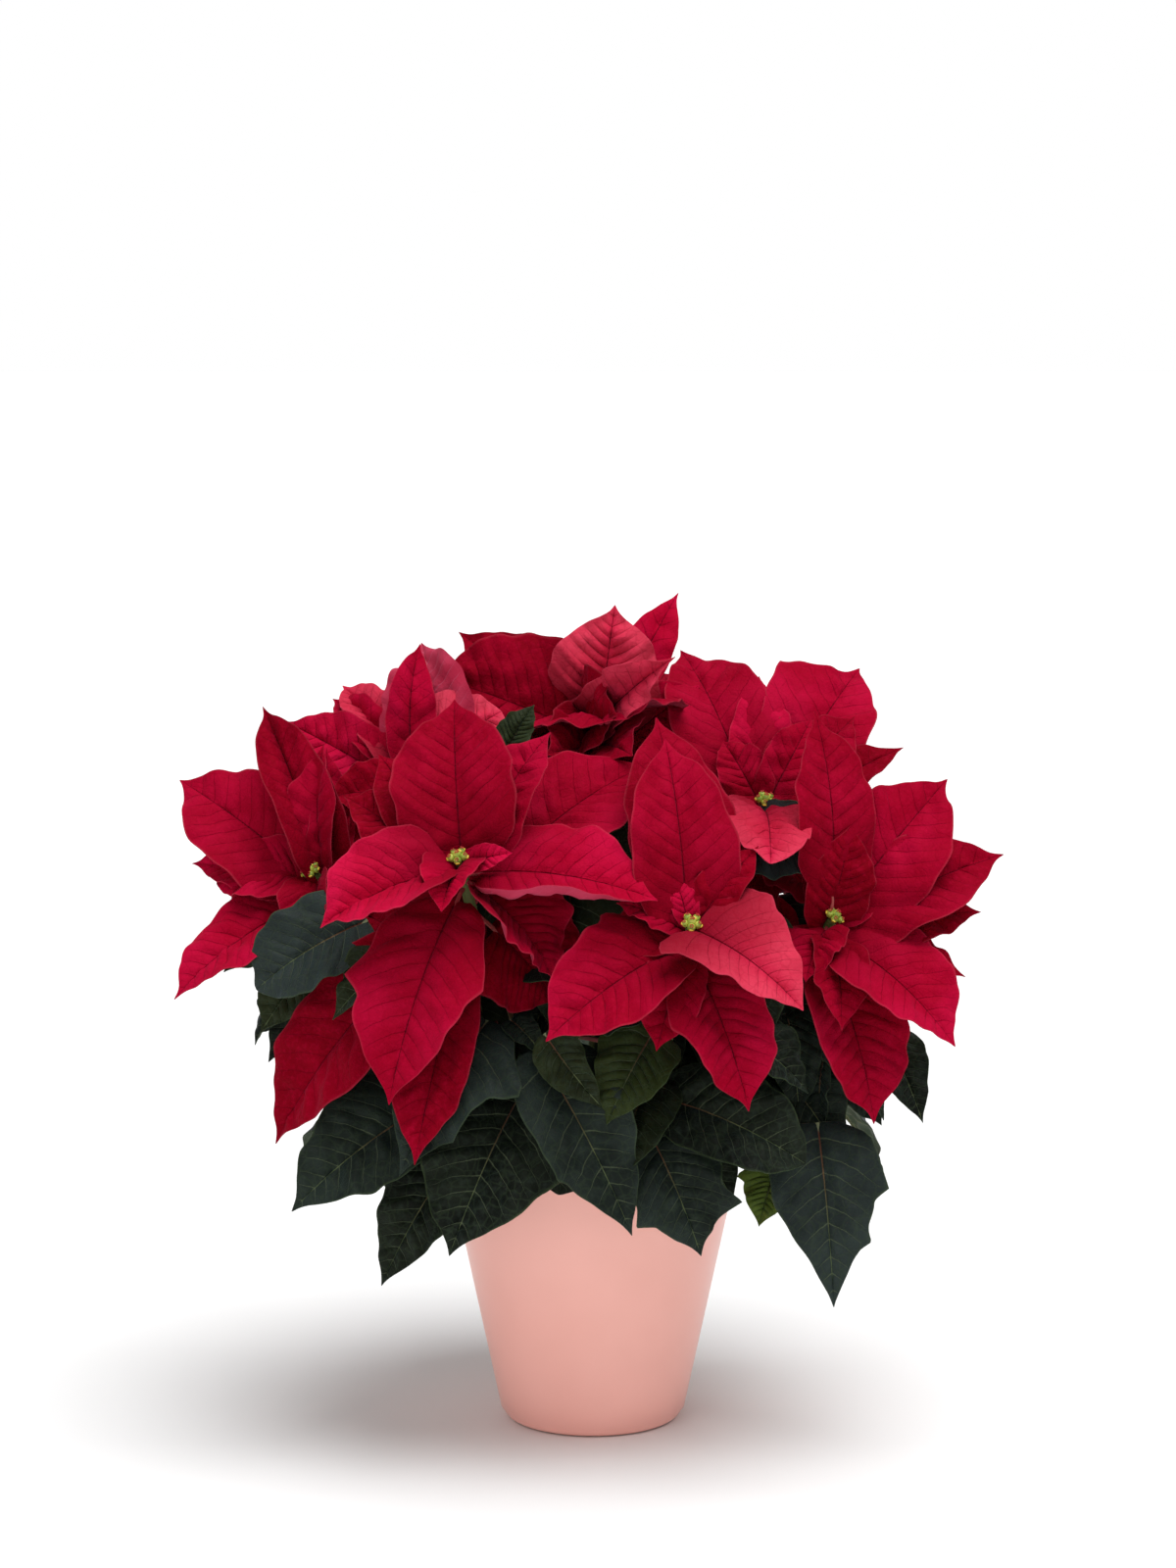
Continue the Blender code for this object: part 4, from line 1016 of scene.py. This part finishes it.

# A few more small bracts stand in front of the shoots' bare tips and behind the wide bracts; most are painted deep
# crimson, as painted shade.
MORE_BRACTS = {
    "upper_left": [bract((47, 12, 21), 56, 16, 12, 0, 6, tone=1.0, outline=ROUNDED_OUTLINE),
                   bract((-16, -35, -27), 36, 14, 10, tone=IN_SHADE), bract((2, -35, -1), 30, 8, 8, 0, 30, tone=IN_SHADE),
                   bract((5, 24, 66), 30, 10, 10, 20, 30, tone=0.8, sweep=-0.07)],
    "left": [bract((2, -30, -33), 38, 6, 6, 0, 40, tone=0.3), bract((-56, 10, -35), 44, 26, 16, tone=IN_SHADE),
             bract((5, 15, 67), 34, 14, 10, 0, 30, tone=0.3)],
    "top": [bract((18, -80, -8), 52, 22, 14, 0, 10, tone=0.2), bract((-28, -75, -8), 56, 24, 16, 0, 8, tone=IN_SHADE),
            bract((3, -68, 8), 92, 2, 4, 0, 4, 0.04, tone=0.4, quilt=1.8, outline=ROUNDED_OUTLINE),
            bract((55, -5, 20), 40, 26, 16, tone=1.0)],
    "front_right": [bract((-53, 12, -10), 34, 14, 10, tone=IN_SHADE), bract((-18, -25, -60), 34, 14, 12, tone=0.4),
                    bract((43, 20, -30), 40, 30, 16, tone=IN_SHADE)],
    "front_left": [bract((30, 45, -70), 52, 46, 20, tone=IN_SHADE), bract((-43, 45, 48), 44, 26, 16, tone=IN_SHADE)],
    "upper_right": [bract((-24, -25, -12), 36, 16, 12, tone=IN_SHADE), bract((35, -25, -12), 36, 16, 12, tone=IN_SHADE),
                    bract((50, 45, 40), 44, 22, 14, tone=0.3)],
    "right": [bract((-10, 12, 108), 46, 4, 30, 0, 10, tone=0.3), bract((9, 0, 51), 36, 16, 10, tone=IN_SHADE),
              bract((-22, -15, -30), 40, 22, 12, tone=IN_SHADE), bract((79, 20, 0), 42, 28, 18, tone=IN_SHADE),
              bract((42, 10, -40), 46, 30, 18, tone=IN_SHADE)],
}
for name, rows in MORE_BRACTS.items():
    small = [make_bract("small_bract", name, row, Vector(SHOOTS[name].face), next(seeds), (7, 4)) for row in rows]
    finish(joined(f"small_bracts_{name}", small), "bract")

# Inner bracts and leaves lie deeper on each shoot, and close the gaps between the ones in front. The inner bracts are
# painted deep crimson, as painted shade.
INNER_BRACTS = 5
INNER_LEAVES = 5
INNER_SEEDS = 200
INNER_BRACT_LENGTHS = (62, 74)
INNER_LEAF_LENGTHS = (56, 68)


def hangs_over(name, out):
    """Whether one of the shoot's own bracts droops on this side, where an inner one would pass through it."""
    for row in BRACTS.get(name, ()):
        way, lean = Vector(row.tip).normalized(), LEANS[name]
        level = way.dot(lean)
        if level < -0.05 and (way - lean * level).normalized().dot(out) > 0.6:
            return True
    return False


for name in SHOOTS:
    lean = LEANS[name]
    inner = []
    for k in range(INNER_BRACTS):
        out, lift, drop = square_to(lean, SPIRAL_TURN * k + 1.2), math.radians(-16 + 5 * k), 44 - 3 * k
        length, seed = random.uniform(*INNER_BRACT_LENGTHS), INNER_SEEDS + next(seeds)
        if not hangs_over(name, out):
            tip = (out * math.cos(lift) + lean * math.sin(lift)) * length - lean * drop
            inner.append(make_bract("inner_bract", name, bract(tip, 44, drop, 10, tone=IN_SHADE), lean, seed, (6, 3)))
    finish(joined(f"inner_bracts_{name}", inner), "bract")
    inner = []
    for k in range(INNER_LEAVES):
        core = branch_point(name, 0.97 - 0.1 * k)
        out = (square_to(lean, SPIRAL_TURN * k + 2.6) + lean * 0.15).normalized()
        base = core + out * (22 * MM)
        tip = base + (out + Vector((0, 0, -0.35))).normalized() * (random.uniform(*INNER_LEAF_LENGTHS) * MM)
        piece, spine, radii = blade("inner_leaf", base, tip, 46 * MM, 0, lean + Vector((0, 0, 0.3)), 0, FOLD, 0.14,
                                    Look(), (green_top, green_under), INNER_SEEDS + next(seeds), (6, 3))
        stalk = round_bar("petiole", [core, core.lerp(base, 0.5) + Vector((0, 0, 2 * MM)), spine[1]],
                          [STALK_RADIUS * 1.2, STALK_RADIUS, radii[1]], 6)
        rib = round_bar("midrib", spine, radii, 6)
        inner.append(on_ribs("inner_leaf", piece, (stalk, red_stalk), (rib, green_under)))
    finish(joined(f"inner_leaves_{name}", inner), "leaf")


# ------------------------------------------------------------------ small flowers
# Each shoot ends in a cluster of small waxy cups, mottled green and yellow-green, with a yellow gland on
# one side and red stamens on top. One cup is modelled once, and copied round the cluster.
CUP_RADIUS = 2.2 * MM
CUP_HEIGHT = 5 * MM
CUP_RING = 2.5 * MM
CUP_SPREAD = math.radians(24)
CUPS_IN_RING = 5
STAMENS = 5
STAMEN_RADIUS = 0.42 * MM
STAMEN_RING = 0.8 * MM
CLUSTER_RISE = 0.6 * MM

cup_green, shader = material("cup_green", (0.30, 0.40, 0.05), 0.42, 0.45)
tint = mottled(noise(object_place(shader), 260, 2), 0.3, 0.7, (0.18, 0.30, 0.035), (0.46, 0.50, 0.07))
paint(shader, tint)
gland_yellow, shader = material("gland_yellow", (0.75, 0.52, 0.04), 0.3, 0.5)
tint = blend_colour(noise(object_place(shader), 300, 2), (0.62, 0.42, 0.03), (0.85, 0.65, 0.08))
paint(shader, tint)
stamen_red, shader = material("stamen_red", (0.4, 0.02, 0.02), 0.5, 0.4)
tint = blend_colour(noise(object_place(shader), 500, 2), (0.30, 0.010, 0.014), (0.60, 0.05, 0.03))
paint(shader, tint)


def bead(segments, rings, radius, place, stretch, made):
    """A small ball at its place, stretched or pressed along each axis."""
    select_only()
    bpy.ops.mesh.primitive_uv_sphere_add(segments=segments, ring_count=rings, radius=radius, location=place)
    bpy.context.object.scale = stretch
    bpy.ops.object.transform_apply(location=True, rotation=True, scale=True)
    bpy.context.object.data.materials.append(made)
    return bpy.context.object


# The cup stands along +Z on the origin: a round body with a puckered lip, a gland and five stamens.
outline = ((0, 0), (0.55, 0.04), (0.85, 0.22), (1.0, 0.45), (0.96, 0.68), (0.78, 0.86), (0.55, 0.93), (0.30, 0.86),
           (0, 0.8))
cup = turned_piece("cup", [(r * CUP_RADIUS, z * CUP_HEIGHT) for r, z in outline], 14)
cup.data.materials.append(cup_green)
gland = bead(10, 6, CUP_RADIUS * 0.55, (CUP_RADIUS * 0.85, 0, CUP_HEIGHT * 0.72), (0.6, 1.1, 0.6), gland_yellow)
stamens = []
for k in range(STAMENS):
    turn = 2 * math.pi * k / STAMENS + 0.4
    place = (STAMEN_RING * math.cos(turn), STAMEN_RING * math.sin(turn), CUP_HEIGHT * (1.04 + 0.06 * (k % 2)))
    stamens.append(bead(8, 5, STAMEN_RADIUS, place, (1, 1, 1), stamen_red))
pattern_cup = joined("cup", [cup, gland] + stamens)
smooth(pattern_cup, 60)
cup_shape = points_of(pattern_cup)
for name in SHOOTS:
    flower, lean = FLOWERS[name], LEANS[name]
    cups = []
    for k in range(CUPS_IN_RING + 1):
        middle = k == CUPS_IN_RING
        out = square_to(lean, 2 * math.pi * k / CUPS_IN_RING)
        way = lean if middle else (lean * math.cos(CUP_SPREAD) + out * math.sin(CUP_SPREAD)).normalized()
        start = flower + lean * CLUSTER_RISE + (Vector() if middle else out * CUP_RING)
        beside = way.cross(out).normalized()
        size = 1.1 if middle else random.uniform(0.78, 1.0)
        cup = pattern_cup.copy()
        cup.data = pattern_cup.data.copy()
        bpy.context.scene.collection.objects.link(cup)
        set_points(cup, np.array(start) + size * cup_shape @ np.array((beside.cross(way), beside, way)))
        cups.append(cup)
    finish(joined(f"cyathia_{name}", cups), "flower", f"flower_{name}")
bpy.data.objects.remove(pattern_cup)


# ------------------------------------------------------------------ studio
# A plain pale floor, a white surround, a wide soft key light high to the right and weaker ones low in
# front and behind, seen from the photograph's camera.
select_only()
bpy.ops.mesh.primitive_plane_add(size=16, location=(0, 2, -0.2 * MM))
floor = bpy.context.object
floor.name = "studio_floor"
paper, shader = material("pale_paper", (0.9, 0.9, 0.9), 0.8, 0.2)
tint = blend_colour(noise(object_place(shader), 3, 2), (0.89, 0.89, 0.89), (0.91, 0.91, 0.91))
paint(shader, tint)
floor.data.materials.append(paper)

world = bpy.data.worlds.new("white_surround")
world.use_nodes = True
sky = world.node_tree.nodes["Background"]
sky.inputs["Strength"].default_value = 1.0
height = height_up(add_node(sky, "ShaderNodeTexCoord").outputs["Generated"])
feed(sky.inputs["Color"], mottled(height, 0.04, 0.25, (1, 1, 1), (0.27, 0.27, 0.27)))
bpy.context.scene.world = world


def soft_lamp(name, place, strength, spread):
    """A wide lamp far off, which lights all the floor evenly; its spread in degrees softens its shadows."""
    light = bpy.data.lights.new(name, "SUN")
    light.energy = strength
    light.angle = math.radians(spread)
    lamp = bpy.data.objects.new(name, light)
    lamp.location = place
    lamp.rotation_euler = (-Vector(place)).to_track_quat("-Z", "Y").to_euler()
    bpy.context.scene.collection.objects.link(lamp)


soft_lamp("key_light", (0.4, -0.45, 2.0), 3.1, 52)
soft_lamp("front_light", (-0.7, -1.5, 0.5), 0.52, 60)
soft_lamp("back_light", (-0.6, 1.4, 0.9), 0.4, 60)

SENSOR = 36
FOCAL_SHARE = 4606 / 1600  # the focal length over the picture's height
LOOKS_DOWN = 8.46
camera_data = bpy.data.cameras.new("photo_camera")
camera_data.sensor_fit = "VERTICAL"
camera_data.sensor_height = SENSOR
camera_data.lens = FOCAL_SHARE * SENSOR
camera = bpy.data.objects.new("photo_camera", camera_data)
camera.location = (-2.6 * MM, -2.4, 0.706)
camera.rotation_euler = (math.radians(90 - LOOKS_DOWN), 0, 0)
bpy.context.scene.collection.objects.link(camera)
bpy.context.scene.camera = camera
bpy.context.scene.view_settings.view_transform = "Standard"
